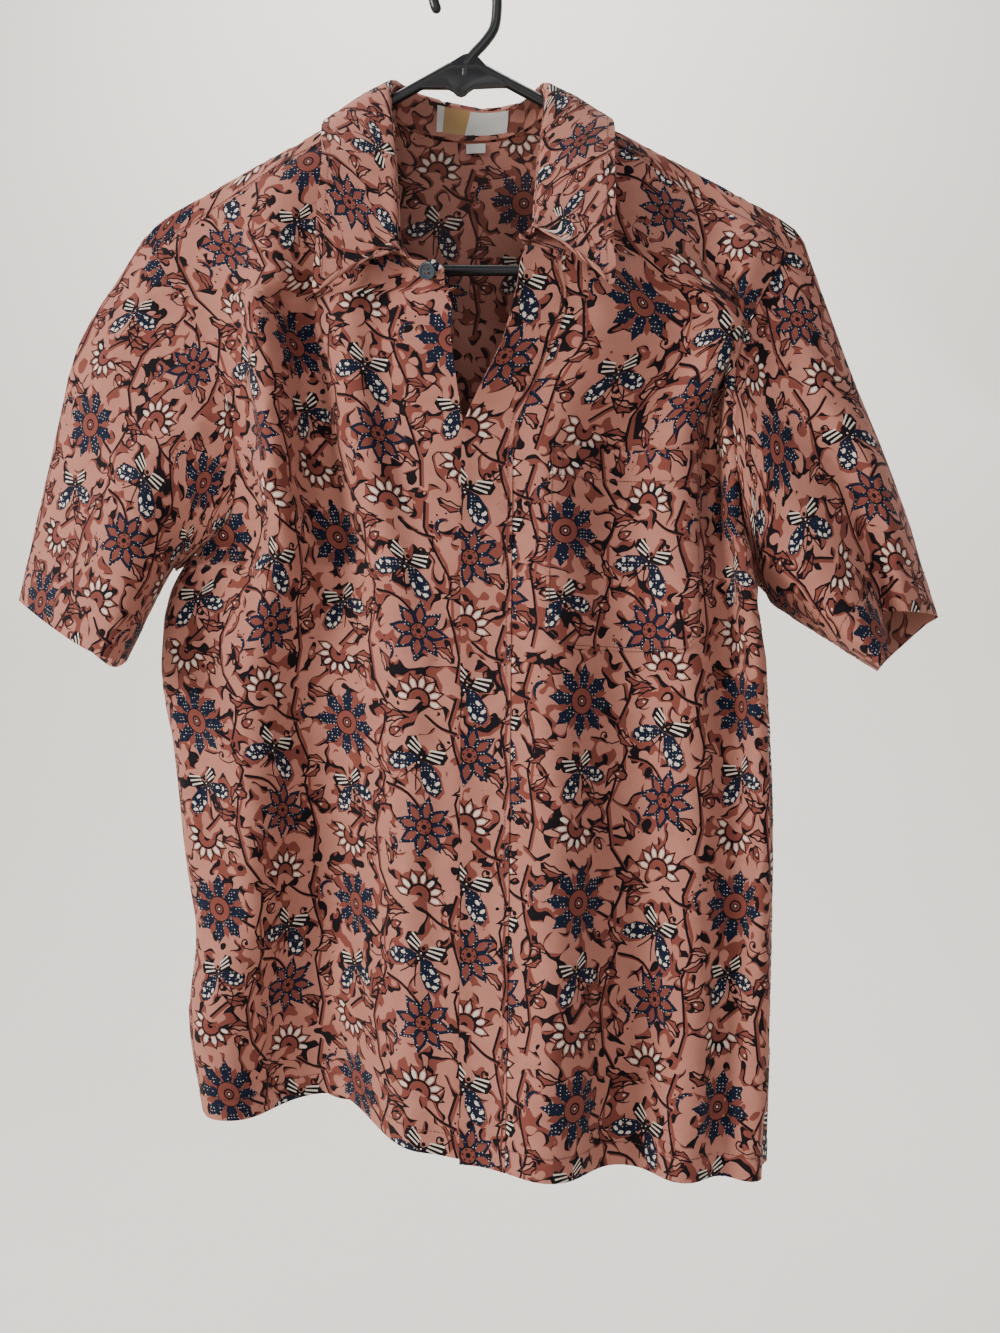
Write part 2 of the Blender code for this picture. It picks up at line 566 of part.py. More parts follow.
def collar_at(prefix, s):
    return Vector([float(smooth_at(STATION, COLLAR[prefix + axis], s)) for axis in ("_x", "_y", "_z")])


def neck_point(s):
    """The neckline at station s, on the torso."""
    if 4.0 <= s <= 8.0:
        u = -NECK_HALF + 2 * NECK_HALF * (s - 4.0) / 4.0
        return BACK.point(u, BACK_NECK_DROP * (1 - (u / NECK_HALF)**2))
    side, depth, sign = ("right", RIGHT_NECK_V, -1) if s < 4.0 else ("left", LEFT_NECK_V, 1)
    reach = min(s, 12.0 - s)
    turn = math.radians(float(np.interp(reach, [0, 1, 2, 3, 3.7], [90, 68, 45, 20, 0])))
    u, v = -18.0 + (NECK_HALF + 18.0) * math.cos(turn), 20.0 + (depth - 20.0) * math.sin(turn)
    v *= min((4.0 - reach) / 0.3, 1.0)
    return FRONTS[side].point(sign * u, v)


def stand_line(s):
    """The stand at station s: it rises from the neckline to just inside the fold."""
    low, top = neck_point(s), collar_at("top", s)
    inward = Vector((4.0 - top.x, -top.y * 0.6, 0)).normalized()
    top = top + inward * 3.0 + Vector((0, 0, -2.2))
    return low + (top - low).normalized() * 1.6 + inward * 0.6, top


STAND_AT = spread((0.0, 14), (3.5, 8), (4.5, 12), (7.5, 8), (8.5, 14), 12.0)


def stand_grid():
    grid = []
    for s in STAND_AT:
        low, top = stand_line(s)
        grid.append([low.lerp(top, k / 3) for k in range(4)])
    return grid


def leaf_grid():
    grid = []
    for i in range(45):
        s = LEAF_FROM + (LEAF_TO - LEAF_FROM) * i / 44
        top, edge = collar_at("top", s), collar_at("edge", s)
        mid = top.lerp(edge, 0.45) + Vector((0, 0, 3.0))
        grid.append([top, top.lerp(mid, 0.5) + Vector((0, 0, 1.0)), mid, mid.lerp(edge, 0.55), edge])
    return grid


sheet("collar_stand", stand_grid(), PRINTED["cloth_collar"], thickness=1.4, outward=REAR)
sheet("collar_leaf", leaf_grid(), PRINTED["cloth_collar"], thickness=1.4, outward=REAR)

# ---- button, label, size tag -------------------------------------------------------------
STAND = stand_grid()


def stand_point(s, k, out=0.0):
    """A point of the stand, k up from its seam, and its normal away from the neck's middle."""
    i = int(np.searchsorted(STAND_AT, s + 1e-9)) - 1
    f, row = (s - STAND_AT[i]) / (STAND_AT[i + 1] - STAND_AT[i]), min(int(k * 3), 2)
    g = k * 3 - row
    corners = STAND[i][row], STAND[i][row + 1], STAND[i + 1][row], STAND[i + 1][row + 1]
    p = corners[0].lerp(corners[1], g).lerp(corners[2].lerp(corners[3], g), f)
    normal = (corners[2] - corners[0]).cross(corners[1] - corners[0]).normalized()
    if normal.dot(p - Vector((4, 0, p.z))) < 0:
        normal = -normal
    return p + normal * out, normal


label_rows = []
for k in (LABEL["high"], 0.667, 0.333, LABEL["low"]):
    label_rows.append([stand_point(5.25 + 1.5 * i / 12, k, -2.5)[0] for i in range(13)])
sheet("neck_label", label_rows, SATIN, thickness=0.5, outward=FRONT)

tag_top = BACK.point(0.0, BACK_NECK_DROP + 1.0) + Vector((3.5, -2.15, 0))
tag_rows = [[tag_top + Vector((TAG["half"] * i, -0.4 * k, -TAG["drop"] * k)) for i in (-1, 0, 1)]
            for k in (0, 0.5, 1)]
sheet("size_tag", tag_rows, SATIN, thickness=0.5, outward=FRONT)

bpy.ops.mesh.primitive_cylinder_add(vertices=24, radius=BUTTON["radius"] * MM,
                                    depth=BUTTON["thick"] * MM)
button = bpy.context.active_object
button.name = button.data.name = "top_button"
button.data.materials.append(SHELL)
for holder in button.users_collection:
    holder.objects.unlink(button)
collection.objects.link(button)
seat, facing = stand_point(BUTTON["station"], 0.5)
button.location = (seat + facing * (BUTTON["thick"] / 2 + 1.1)) * MM
button.rotation_euler = facing.to_track_quat("Z", "Y").to_euler()

# ---- hanger ------------------------------------------------------------------------------
def lean(x, z):
    return Vector((x, 0, z - HANG_TILT * x)) * MM


def arm_z(x):
    return -93.4 - (abs(x) - 53.0) * ARM_SLOPE


def tube(name, points, radius, cyclic, resolution=2):
    """A round plastic tube along a line of points."""
    curve = bpy.data.curves.new(name, "CURVE")
    curve.dimensions = "3D"
    curve.bevel_depth = radius * MM
    curve.bevel_resolution = resolution
    curve.use_fill_caps = not cyclic
    spline = curve.splines.new("POLY")
    spline.points.add(len(points) - 1)
    for node, p in zip(spline.points, points):
        node.co = (*p, 1)
    spline.use_cyclic_u = cyclic
    holder = bpy.data.objects.new(name + "_line", curve)
    collection.objects.link(holder)
    mesh = bpy.data.meshes.new_from_object(holder.evaluated_get(bpy.context.evaluated_depsgraph_get()))
    bpy.data.objects.remove(holder, do_unlink=True)
    bm = bmesh.new()
    bm.from_mesh(mesh)
    bmesh.ops.remove_doubles(bm, verts=bm.verts, dist=0.00001)
    bm.to_mesh(mesh)
    bm.free()
    mesh.name = name
    mesh.shade_smooth()
    return mesh


def arc(cx, cz, radius, start, end, n):
    return [(cx + radius * math.cos(math.radians(start + (end - start) * i / n)),
             cz + radius * math.sin(math.radians(start + (end - start) * i / n))) for i in range(n + 1)]


end_r = 18.0                                     # the arms' round ends
right_side = [(10.0, arm_z(10.0)), (60.0, arm_z(60.0)), (120.0, arm_z(120.0)), (180.0, arm_z(180.0))]
right_side += arc(HANGER_HALF - end_r + 2, BAR_Z + end_r, end_r, 50, -90, 8)
loop = right_side + [(-x, z) for x, z in reversed(right_side)]
frame = add_object("hanger", tube("hanger", [lean(x, z) for x, z in loop], ARM, True), BLACK)

hook_line = arc(0, ROD - HOOK, HOOK, 205, 0, 16)
hook_line += [(HOOK, ROD - HOOK - 12), (HOOK - 2, -43), (HOOK - 8, -52), (6, -61), (1, -68), (0, -76)]
hook = add_object("hook", tube("hook", [lean(x, z) for x, z in hook_line], ROD, False), BLACK)

bpy.ops.mesh.primitive_cube_add(size=1)
web = bpy.context.active_object
web.name = "web"
bm = bmesh.new()
bm.from_mesh(web.data)
for v in bm.verts:
    low = v.co.z < 0
    v.co = Vector((v.co.x * (0.050 if low else 0.020), v.co.y * 0.0074,
                   -0.0862 if low else -0.0640))
bmesh.ops.bevel(bm, geom=bm.edges[:], offset=0.0022, segments=2, profile=0.5, affect="EDGES")
bm.to_mesh(web.data)
bm.free()
cutters = bpy.data.collections.new("joined_into_hanger")
bpy.context.scene.collection.children.link(cutters)
for piece in (hook, web):
    for holder in piece.users_collection:
        holder.objects.unlink(piece)
    cutters.objects.link(piece)
    piece.hide_render = True
    piece.display_type = "WIRE"
    join = frame.modifiers.new("join_" + piece.name, "BOOLEAN")
    join.operation = "UNION"
    join.object = piece
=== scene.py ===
"""Short-sleeve printed shirt on a plastic hanger: the dressed scene.

Every cloth piece is cut flat first: its outline and its print are drawn in the flat cut, u across and
v down, mm. The print's shapes cut the flat piece into faces, each with its dye, and the piece is then
laid on the hanging form, with creases from tables. The sleeves and the collar are drawn as they hang
and unrolled to find their cut. Right and left are the wearer's.
"""

import math

import bmesh
import bpy
import numpy as np
from mathutils import Matrix, Vector, kdtree
from mathutils.geometry import delaunay_2d_cdt


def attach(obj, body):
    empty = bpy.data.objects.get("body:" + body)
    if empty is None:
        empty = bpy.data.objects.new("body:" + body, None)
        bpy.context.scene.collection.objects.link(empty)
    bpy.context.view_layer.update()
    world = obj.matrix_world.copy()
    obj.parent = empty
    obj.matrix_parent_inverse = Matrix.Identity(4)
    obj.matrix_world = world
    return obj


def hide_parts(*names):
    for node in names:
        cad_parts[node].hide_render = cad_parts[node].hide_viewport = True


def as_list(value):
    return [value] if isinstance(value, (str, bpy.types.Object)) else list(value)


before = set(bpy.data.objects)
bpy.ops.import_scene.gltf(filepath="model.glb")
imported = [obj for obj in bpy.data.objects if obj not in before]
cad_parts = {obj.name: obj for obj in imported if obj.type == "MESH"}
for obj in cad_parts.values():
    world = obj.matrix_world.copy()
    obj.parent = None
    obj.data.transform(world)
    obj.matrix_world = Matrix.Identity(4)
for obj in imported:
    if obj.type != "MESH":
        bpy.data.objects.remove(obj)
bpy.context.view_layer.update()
MM = 0.001

# ---- camera ------------------------------------------------------------------------------
VIEW_AZIMUTH, VIEW_DISTANCE, VIEW_HEIGHT = math.radians(7.0), 1.0, -0.4893
FIELD_HIGH, FIELD_MIDDLE_PX, ORIGIN_PX = 0.9331, 500.0, 465.0
camera = bpy.data.objects.new("camera", bpy.data.cameras.new("camera"))
bpy.context.scene.collection.objects.link(camera)
bpy.context.scene.camera = camera
camera.data.sensor_fit = "VERTICAL"
camera.data.sensor_height = 24.0
camera.data.lens = 24.0 / FIELD_HIGH * VIEW_DISTANCE
camera.data.shift_x = (FIELD_MIDDLE_PX - ORIGIN_PX) * 0.0007 / FIELD_HIGH
camera.location = (math.sin(VIEW_AZIMUTH) * VIEW_DISTANCE, -math.cos(VIEW_AZIMUTH) * VIEW_DISTANCE,
                   VIEW_HEIGHT)
camera.rotation_euler = (math.radians(90), 0, VIEW_AZIMUTH)

# ---- driving sizes, mm -------------------------------------------------------------------
NECK_TOP_Z = -95.6           # highest point of the shoulder seam line below the origin
NECK_HALF = 70.0             # half width of the neck at the shoulders
SHOULDER_HALF = 231.0        # centre to sleeve seam
SHOULDER_SLOPE = 0.543
HANG_TILT = 0.038            # the hanger leans, and the cloth shears with it
CHEST_HALF = 270.0           # half of one front or back, cut flat
TIP_V = 92.2                 # the shoulder line's drop at the sleeve seam
ARMPIT_V = 337.0
HEM_V = 728.0
RIDGE_LIFT = 8.0             # cloth lost in rounding over the hanger's arm
ROUND_OVER = 7.0             # the cloth rounds over the arm, half its width
PAST_EDGE = 30.0             # how far past its cut edge a panel can be read
ARM_REACH = 100.0            # below the shoulder line by this much, the cloth hangs free of the arm
DEEPENS = 48.0               # over this much it reaches its full depth from front to back
RIDE_UP, RIDE_UP_U, RIDE_UP_WIDE = 16.0, -125.0, 52.0   # the right front's hem rides up at a fold
BACK_NECK_DROP = 22.0
RIGHT_NECK_V, LEFT_NECK_V = 150.0, 128.0   # how deep each front's neckline is cut
NECK_ARC_V = 20.0            # where its round part starts
PLACKET_IN, PLACKET_OUT = -18.0, 16.0
POCKET = dict(u0=41.0, u1=153.0, v0=252.0, v1=387.0, chamfer=11.0)
BUTTON = dict(station=0.6, radius=5.8, thick=2.4)
LABEL = dict(low=0.16, high=0.92)
TAG = dict(half=7.0, drop=7.0)
ROD = 3.6                    # hanger: radius of the hook's rod
ARM = 3.8                    # radius of its arms and bar
HOOK = 22.4                  # radius of the hook's bend, to the rod's centre line
ARM_SLOPE = 0.543
BAR_Z = -212.0
HANGER_HALF = 200.0


def add_object(name, data):
    made = bpy.data.objects.new(name, data)
    bpy.context.scene.collection.objects.link(made)
    return made


def table(columns, rows):
    """A named-column table: each column becomes an array."""
    data = np.array([row for row in rows], dtype=float)
    return {name: data[:, i] for i, name in enumerate(columns.split())}


# Flat cut of the armholes: distance of the seam from the centre line at each height.
FRONT_ARMHOLE = table("v u", [(117, 222), (156, 213), (190, 207), (220, 204), (250, 205),
                              (280, 212), (305, 226), (325, 250), (ARMPIT_V, CHEST_HALF)])
BACK_ARMHOLE = table("v u", [(53, 222), (TIP_V, 231), (124, 224), (156, 216), (190, 212), (250, 212),
                             (280, 218), (305, 232), (325, 252), (ARMPIT_V, CHEST_HALF)])

# Level sections of the hanging shirt: where each row of a panel starts and ends, seen from above.
# "in" is the neckline or the front edge, "out" is the sleeve seam, then the side seam.
RIGHT_FRONT_RINGS = table("v in_x in_y out_x out_y", [
    (0, -70, 0, -70, 0), (60, -68, -26, -180, 0), (TIP_V, -63, -34, -231, 0),
    (122, -48, -42, -208, -14), (150, -8, -50, -195, -20), (185, -3, -52, -178, -27),
    (235, 4, -50, -160, -30), (278, 12, -50, -158, -26), (307, 20, -50, -166, -20),
    (ARMPIT_V, 28, -50, -201, -4), (404, 36, -52, -220, 0), (472, 38, -54, -211, 2),
    (550, 38, -56, -203, 4), (600, 38, -57, -196, 5), (660, 38, -58, -201, 5), (740, 38, -58, -187, 5)])
LEFT_FRONT_RINGS = table("v in_x in_y out_x out_y", [
    (0, 70, 0, 70, 0), (60, 68, -26, 180, 0), (TIP_V, 65, -38, 231, 0),
    (118, 55, -58, 209, -14), (130, 48, -72, 204, -16), (157, 42, -74, 196, -22),
    (190, 32, -70, 187, -27), (220, 15, -58, 183, -30), (240, 6, -54, 183, -30),
    (265, 4, -53, 186, -27), (298, 4, -53, 191, -20), (ARMPIT_V, 4, -54, 199, -5),
    (365, 4, -55, 204, -3), (458, 4, -57, 211, -3), (621, 4, -60, 210, -5), (740, 4, -61, 206, -6)])
BACK_RINGS = table("v out_left out_right out_y bulge", [
    (0, -70, 70, 0, 30), (60, -180, 180, 0, 42), (TIP_V, -231, 231, 0, 44), (122, -210, 208, 12, 38),
    (156, -194, 192, 18, 34), (190, -183, 182, 21, 31), (250, -175, 176, 20, 32),
    (300, -181, 182, 10, 42), (ARMPIT_V, -200.5, 198.5, -3, 54), (404, -219.5, 206.5, 1, 51),
    (472, -210.5, 210.5, 2, 48), (621, -197, 209.5, 3, 50), (740, -186.5, 205.5, 3, 52)])

# Folds: a ridge at u, its half width, and how far the cloth turns away on each side of it,
# degrees, at the shoulder, chest, waist and hem. A negative swing is a trough.
FOLD_COLUMNS = "u_chest u_hem w_chest w_hem shoulder chest waist hem"
FOLD_HEIGHTS = (20.0, 250.0, 420.0, HEM_V)
GAIN_HEIGHTS = (60.0, 120.0, 190.0, 250.0, 420.0, 500.0, 580.0, 660.0, HEM_V)
RIGHT_FRONT_FOLDS = table(FOLD_COLUMNS, [
    (-150, -226, 20, 24, 14, 60, 44, 24), (-108, -160, 24, 50, -8, -32, -40, -44),
    (-60, -50, 18, 20, 4, 14, 18, 12), (-34, -34, 9, 9, 0, -14, -16, -14)])
LEFT_FRONT_FOLDS = table(FOLD_COLUMNS, [
    (46, 52, 16, 28, 6, 10, 22, 56), (92, 112, 24, 26, -6, -10, -16, -46),
    (136, 165, 16, 18, 18, 12, 12, 42), (174, 200, 15, 13, -16, -34, -38, -36),
    (202, 226, 15, 13, 18, 54, 50, 36)])
BACK_FOLDS = table(FOLD_COLUMNS, [
    (-230, -226, 15, 17, 0, 30, 44, 42), (-178, -188, 18, 20, 4, 34, 42, 50),
    (-128, -132, 26, 30, -3, -26, -34, -44), (-66, -50, 20, 24, 3, 20, 32, 44),
    (-8, 12, 30, 26, -2, -16, -28, -46), (58, 66, 18, 20, 3, 24, 36, 50),
    (112, 118, 26, 24, -3, -26, -36, -46), (172, 186, 18, 24, 4, 36, 44, 44),
    (232, 234, 14, 15, 0, 30, 42, 38)])
# How the cloth turns round to the side seams: from u on, over a length, degrees.
SIDE_TURNS = {"right": (-252.0, 9.0, 64.0), "left": (222.0, 11.0, 66.0), "back": (252.0, 8.0, 66.0)}


def smooth_at(knots, values, at):
    """A smooth curve through a table's column, flat beyond its ends."""
    slopes = np.gradient(values, knots)
    at = np.clip(np.asarray(at, dtype=float), knots[0], knots[-1])
    i = np.clip(np.searchsorted(knots, at, side="right") - 1, 0, len(knots) - 2)
    span = knots[i + 1] - knots[i]
    q = (at - knots[i]) / span
    return ((2 * q**3 - 3 * q**2 + 1) * values[i] + (q**3 - 2 * q**2 + q) * span * slopes[i]
            + (3 * q**2 - 2 * q**3) * values[i + 1] + (q**3 - q**2) * span * slopes[i + 1])


def ease(q):
    q = min(max(q, 0.0), 1.0)
    return q * q * (3 - 2 * q)


def ridge_v(u):
    """How far the shoulder line has dropped, u across from the centre."""
    beyond = max(abs(u) - 205.0, 0.0)
    return (abs(u) - NECK_HALF) * SHOULDER_SLOPE + beyond**2 / 140.0


def ridge_u(v):
    """The distance from the centre at which the shoulder line has dropped by v."""
    low, high = 0.0, 260.0
    for _ in range(40):
        mid = (low + high) / 2
        low, high = (mid, high) if ridge_v(mid) < v else (low, mid)
    return low


class Panel:
    """One body panel: its cut edges, its rings and its folds."""

    STEP = 2.0

    def __init__(self, side, rings, folds, armhole):
        self.side, self.rings, self.folds, self.armhole = side, rings, folds, armhole
        self.rows, self.gains = {}, None

    def out_u(self, v):
        """Distance from the centre line of the outer edge: shoulder line, sleeve seam, side seam."""
        if v < TIP_V:
            return min(ridge_u(v), SHOULDER_HALF)
        if v < self.armhole["v"][0]:
            return float(np.interp(v, [TIP_V, self.armhole["v"][0]],
                                   [SHOULDER_HALF, self.armhole["u"][0]]))
        return float(smooth_at(self.armhole["v"], self.armhole["u"], v))

    def in_u(self, v):
        """The neckline, then the front edge, measured from the centre toward this panel."""
        depth = RIGHT_NECK_V if self.side == "right" else LEFT_NECK_V
        down = max(v - NECK_ARC_V, 0) / (depth - NECK_ARC_V)
        if v >= depth:
            return PLACKET_IN
        return PLACKET_IN + (NECK_HALF - PLACKET_IN) * math.sqrt(max(1 - down**2, 0))

    def turns(self, u, v, gain):
        """The cloth's turn at each u of a row, radians."""
        down = (v - FOLD_HEIGHTS[1]) / (HEM_V - FOLD_HEIGHTS[1])
        angle = np.zeros_like(u)
        for k in range(len(self.folds["w_hem"])):
            f = {name: column[k] for name, column in self.folds.items()}
            at = f["u_chest"] + (f["u_hem"] - f["u_chest"]) * max(down, -0.35)
            width = f["w_chest"] + (f["w_hem"] - f["w_chest"]) * max(down, 0.0)
            swing = float(smooth_at(np.array(FOLD_HEIGHTS), np.array(
                [f["shoulder"], f["chest"], f["waist"], f["hem"]]), v))
            q = (u - at) / width
            angle += math.radians(swing) * q * np.exp(0.5 - q * q / 2)
        angle = 1.3 * np.tanh(gain * angle / 1.3)
        start, length, turn = SIDE_TURNS[self.side]
        turn = math.radians(turn) * ease((v - 270.0) / 70.0)
        after = turn * 0.5 * (1 + np.tanh((np.abs(u) - abs(start)) / length))
        if self.side == "back":
            return -angle - np.sign(u) * after
        return angle + after if self.side == "left" else angle - np.where(u < 0, after, 0)

    def row(self, v):
        """u, x and y along one level row, from its start to its end."""
        key = round(v * 4)
        if key not in self.rows:
            self.rows[key] = self.solve_row(key / 4)
        return self.rows[key]

    def ends(self, v):
        """Where the row starts and ends: u, x, y at both ends, and how far it bulges."""
        r = {name: float(smooth_at(self.rings["v"], column, v)) for name, column in self.rings.items()}
        out = self.out_u(v)
        if self.side == "right":
            return (-out, r["out_x"], r["out_y"]), (-self.in_u(v), r["in_x"], r["in_y"]), 0.0
        if self.side == "left":
            return (self.in_u(v), r["in_x"], r["in_y"]), (out, r["out_x"], r["out_y"]), 0.0
        made, w = [], ease((v - 300.0) / 30.0)    # down the side seams the back meets the fronts
        for sign, column, front in ((-1, "out_left", "right"), (1, "out_right", "left")):
            rings = FRONTS[front].rings
            x, y = (float(smooth_at(rings["v"], rings[c], v)) for c in ("out_x", "out_y"))
            made.append((sign * out, r[column] + (x - r[column]) * w,
                         r["out_y"] + (y - r["out_y"]) * w))
        return made[0], made[1], r["bulge"]

    def across(self, u, v, gain):
        """The row's run across and in depth, when its folds have a gain."""
        angle = self.turns(u, v, gain)
        mid = (angle[1:] + angle[:-1]) / 2
        step = u[1] - u[0]
        return (np.concatenate([[0], np.cumsum(np.cos(mid)) * step]),
                np.concatenate([[0], np.cumsum(np.sin(mid)) * step]))

    def gain(self, v):
        """The folds' gain: solved at a few heights so that no width is lost, and smooth between."""
        if self.gains is None:
            self.gains = []
            for at in GAIN_HEIGHTS:
                (u0, x0, y0), (u1, x1, y1), _ = self.ends(at)
                u = np.linspace(u0, u1, 140)
                low, high = 0.0, 1.9
                for _ in range(24):
                    mid = (low + high) / 2
                    c, s = self.across(u, at, mid)
                    longer = math.hypot(c[-1], s[-1]) > math.hypot(x1 - x0, y1 - y0)
                    low, high = (mid, high) if longer else (low, mid)
                self.gains.append({60.0: 0.5, 120.0: 0.8}.get(at, low))
        return float(smooth_at(np.array(GAIN_HEIGHTS), np.array(self.gains), v))

    def solve_row(self, v):
        (u0, x0, y0), (u1, x1, y1), bulge = self.ends(v)
        u = np.linspace(u0, u1, max(int((u1 - u0) / self.STEP), 4) + 1)
        c, s = self.across(u, v, self.gain(v))
        q = (u - u0) / (u1 - u0)
        # What the folds do not take up is gathered toward the underarm.
        outer = np.clip((np.abs(u) - 130.0) / max(self.out_u(v) - 130.0, 1.0), 0, 1)
        outer = outer**2 * (3 - 2 * outer)
        excess = c[-1] - (x1 - x0)
        if self.side == "back":
            share = 0.5 + 0.5 * np.sign(u) * outer
        else:
            share = outer if self.side == "left" else 1 - outer
        if v < 170.0:                             # no such cloth up here: spread it evenly
            share = share + (q - share) * ease((170.0 - v) / 40.0)
        x = x0 + c - excess * share
        y = y0 + s + q * (y1 - y0 - s[-1]) + bulge * (1 - (2 * q - 1)**4)
        return u, x, y

    def place(self, us, v, gape=0.0):
        """The outer face at height v of the cut, mm; over the shoulder line it comes down in front."""
        t = v - np.array([ridge_v(u) for u in us])
        row_u, row_x, row_y = self.row(v)
        x, y = np.interp(us, row_u, row_x), np.interp(us, row_u, row_y)
        for beyond, a, b in ((us - row_u[-1], -1, -2), (row_u[0] - us, 0, 1)):
            past = np.clip(beyond, 0, PAST_EDGE)             # a little past the row's end, straight on
            x += (row_x[a] - row_x[b]) / abs(row_u[a] - row_u[b]) * past
            y += (row_y[a] - row_y[b]) / abs(row_u[a] - row_u[b]) * past
        near = np.clip(t / ARM_REACH, 0, 1)                      # at the shoulder line it lies on the arm
        x = us + (x - us) * near**2 * (3 - 2 * near)
        y = y * np.sin(np.clip(t / DEEPENS, 0, 1) * math.pi / 2)
        over = ROUND_OVER * (1 - np.exp(-np.clip(t, 0, None) / 4.0)) * np.exp(-(t / 60.0)**2)
        y += over if self.side == "back" else -over
        lift = RIDGE_LIFT * (1 - np.exp(-np.clip(t, 0, None) / 12.0))
        if self.side == "right":                             # it rides up where its fold is deepest
            low = RIDE_UP * ease(v / HEM_V) * max(v / HEM_V, 0)**2
            lift += low * np.exp(-((us - RIDE_UP_U) / RIDE_UP_WIDE)**2)
        y += gape if self.side == "back" else -gape
        placed = np.stack([x, y, NECK_TOP_Z - v + lift - HANG_TILT * x], axis=1)
        if self.side == "back":
            for k in np.nonzero(t < 0)[0]:
                front = FRONTS["right" if us[k] < 0 else "left"]
                placed[k] = front.point(us[k], ridge_v(us[k]) - t[k])
        return placed

    def point(self, u, v):
        return Vector(self.place(np.array([float(u)]), v)[0])


FRONTS = {"right": Panel("right", RIGHT_FRONT_RINGS, RIGHT_FRONT_FOLDS, FRONT_ARMHOLE),
          "left": Panel("left", LEFT_FRONT_RINGS, LEFT_FRONT_FOLDS, FRONT_ARMHOLE)}
BACK = Panel("back", BACK_RINGS, BACK_FOLDS, BACK_ARMHOLE)


def shoulder_seam(u):
    """How far in front of the shoulder line its seam lies."""
    return 20.0 + 12.0 * (abs(u) - NECK_HALF) / (SHOULDER_HALF - NECK_HALF)


WRAP_DEEP = 32.0             # how far the back comes down in front at the sleeve seam


def wrap_u(t):
    """The sleeve seam where the back wraps over the shoulder, t down in front."""
    return SHOULDER_HALF - 9.0 * t / WRAP_DEEP


# ---- the cloth as a surface --------------------------------------------------------------
REACH = 6.0                  # how far past its edge a grid is read when cloth is unrolled, in cells


def tree_of(points, scale=(1.0, 1.0)):
    """A search tree over points of a plane."""
    tree = kdtree.KDTree(len(points))
    for k, p in enumerate(points):
        tree.insert((p[0] / scale[0], p[1] / scale[1], 0), k)
    tree.balance()
    return tree


class Lattice:
    """A surface sampled on a regular grid of (a, b), read smoothly between its nodes, mm."""

    def __init__(self, a_values, b_values, points, creases=(), flip=False):
        self.a, self.b = np.asarray(a_values, float), np.asarray(b_values, float)
        self.points = np.asarray(points, float)              # rows are b, columns are a
        self.flip = flip
        self.stretch = (1.0, 1.0)                            # mm of cloth per step of the grid
        self.normals = self.find_normals()
        if creases:
            grid_a, grid_b = np.meshgrid(self.a, self.b)
            self.points = self.points + self.normals * crease_depth(creases, grid_a, grid_b)[..., None]
            self.normals = self.find_normals()

    def find_normals(self):
        over = np.gradient(self.points, axis=1)
        down = np.gradient(self.points, axis=0)
        n = np.cross(over, down)
        n /= np.linalg.norm(n, axis=2, keepdims=True) + 1e-12
        return -n if self.flip else n

    def read(self, values, a, b, beyond=0.5):
        i = np.clip(np.searchsorted(self.a, a, side="right") - 1, 0, len(self.a) - 2)
        j = np.clip(np.searchsorted(self.b, b, side="right") - 1, 0, len(self.b) - 2)
        f = np.clip((a - self.a[i]) / (self.a[i + 1] - self.a[i]), -beyond, 1 + beyond)[:, None]
        g = np.clip((b - self.b[j]) / (self.b[j + 1] - self.b[j]), -beyond, 1 + beyond)[:, None]
        return ((values[j, i] * (1 - f) + values[j, i + 1] * f) * (1 - g)
                + (values[j + 1, i] * (1 - f) + values[j + 1, i + 1] * f) * g)

    def at(self, a, b, out=0.0):
        """Points and normals at (a, b), moved out along the normal."""
        a, b = np.atleast_1d(np.asarray(a, float)), np.atleast_1d(np.asarray(b, float))
        p, n = self.read(self.points, a, b), self.read(self.normals, a, b)
        n /= np.linalg.norm(n, axis=1, keepdims=True) + 1e-12
        return p + n * np.reshape(out, (-1, 1) if np.ndim(out) else (1, 1)), n

    def to_flat(self, ab):
        """From the grid to the flat cut: the same thing for a body panel."""
        return ab

    def to_grid(self, uv):
        return uv


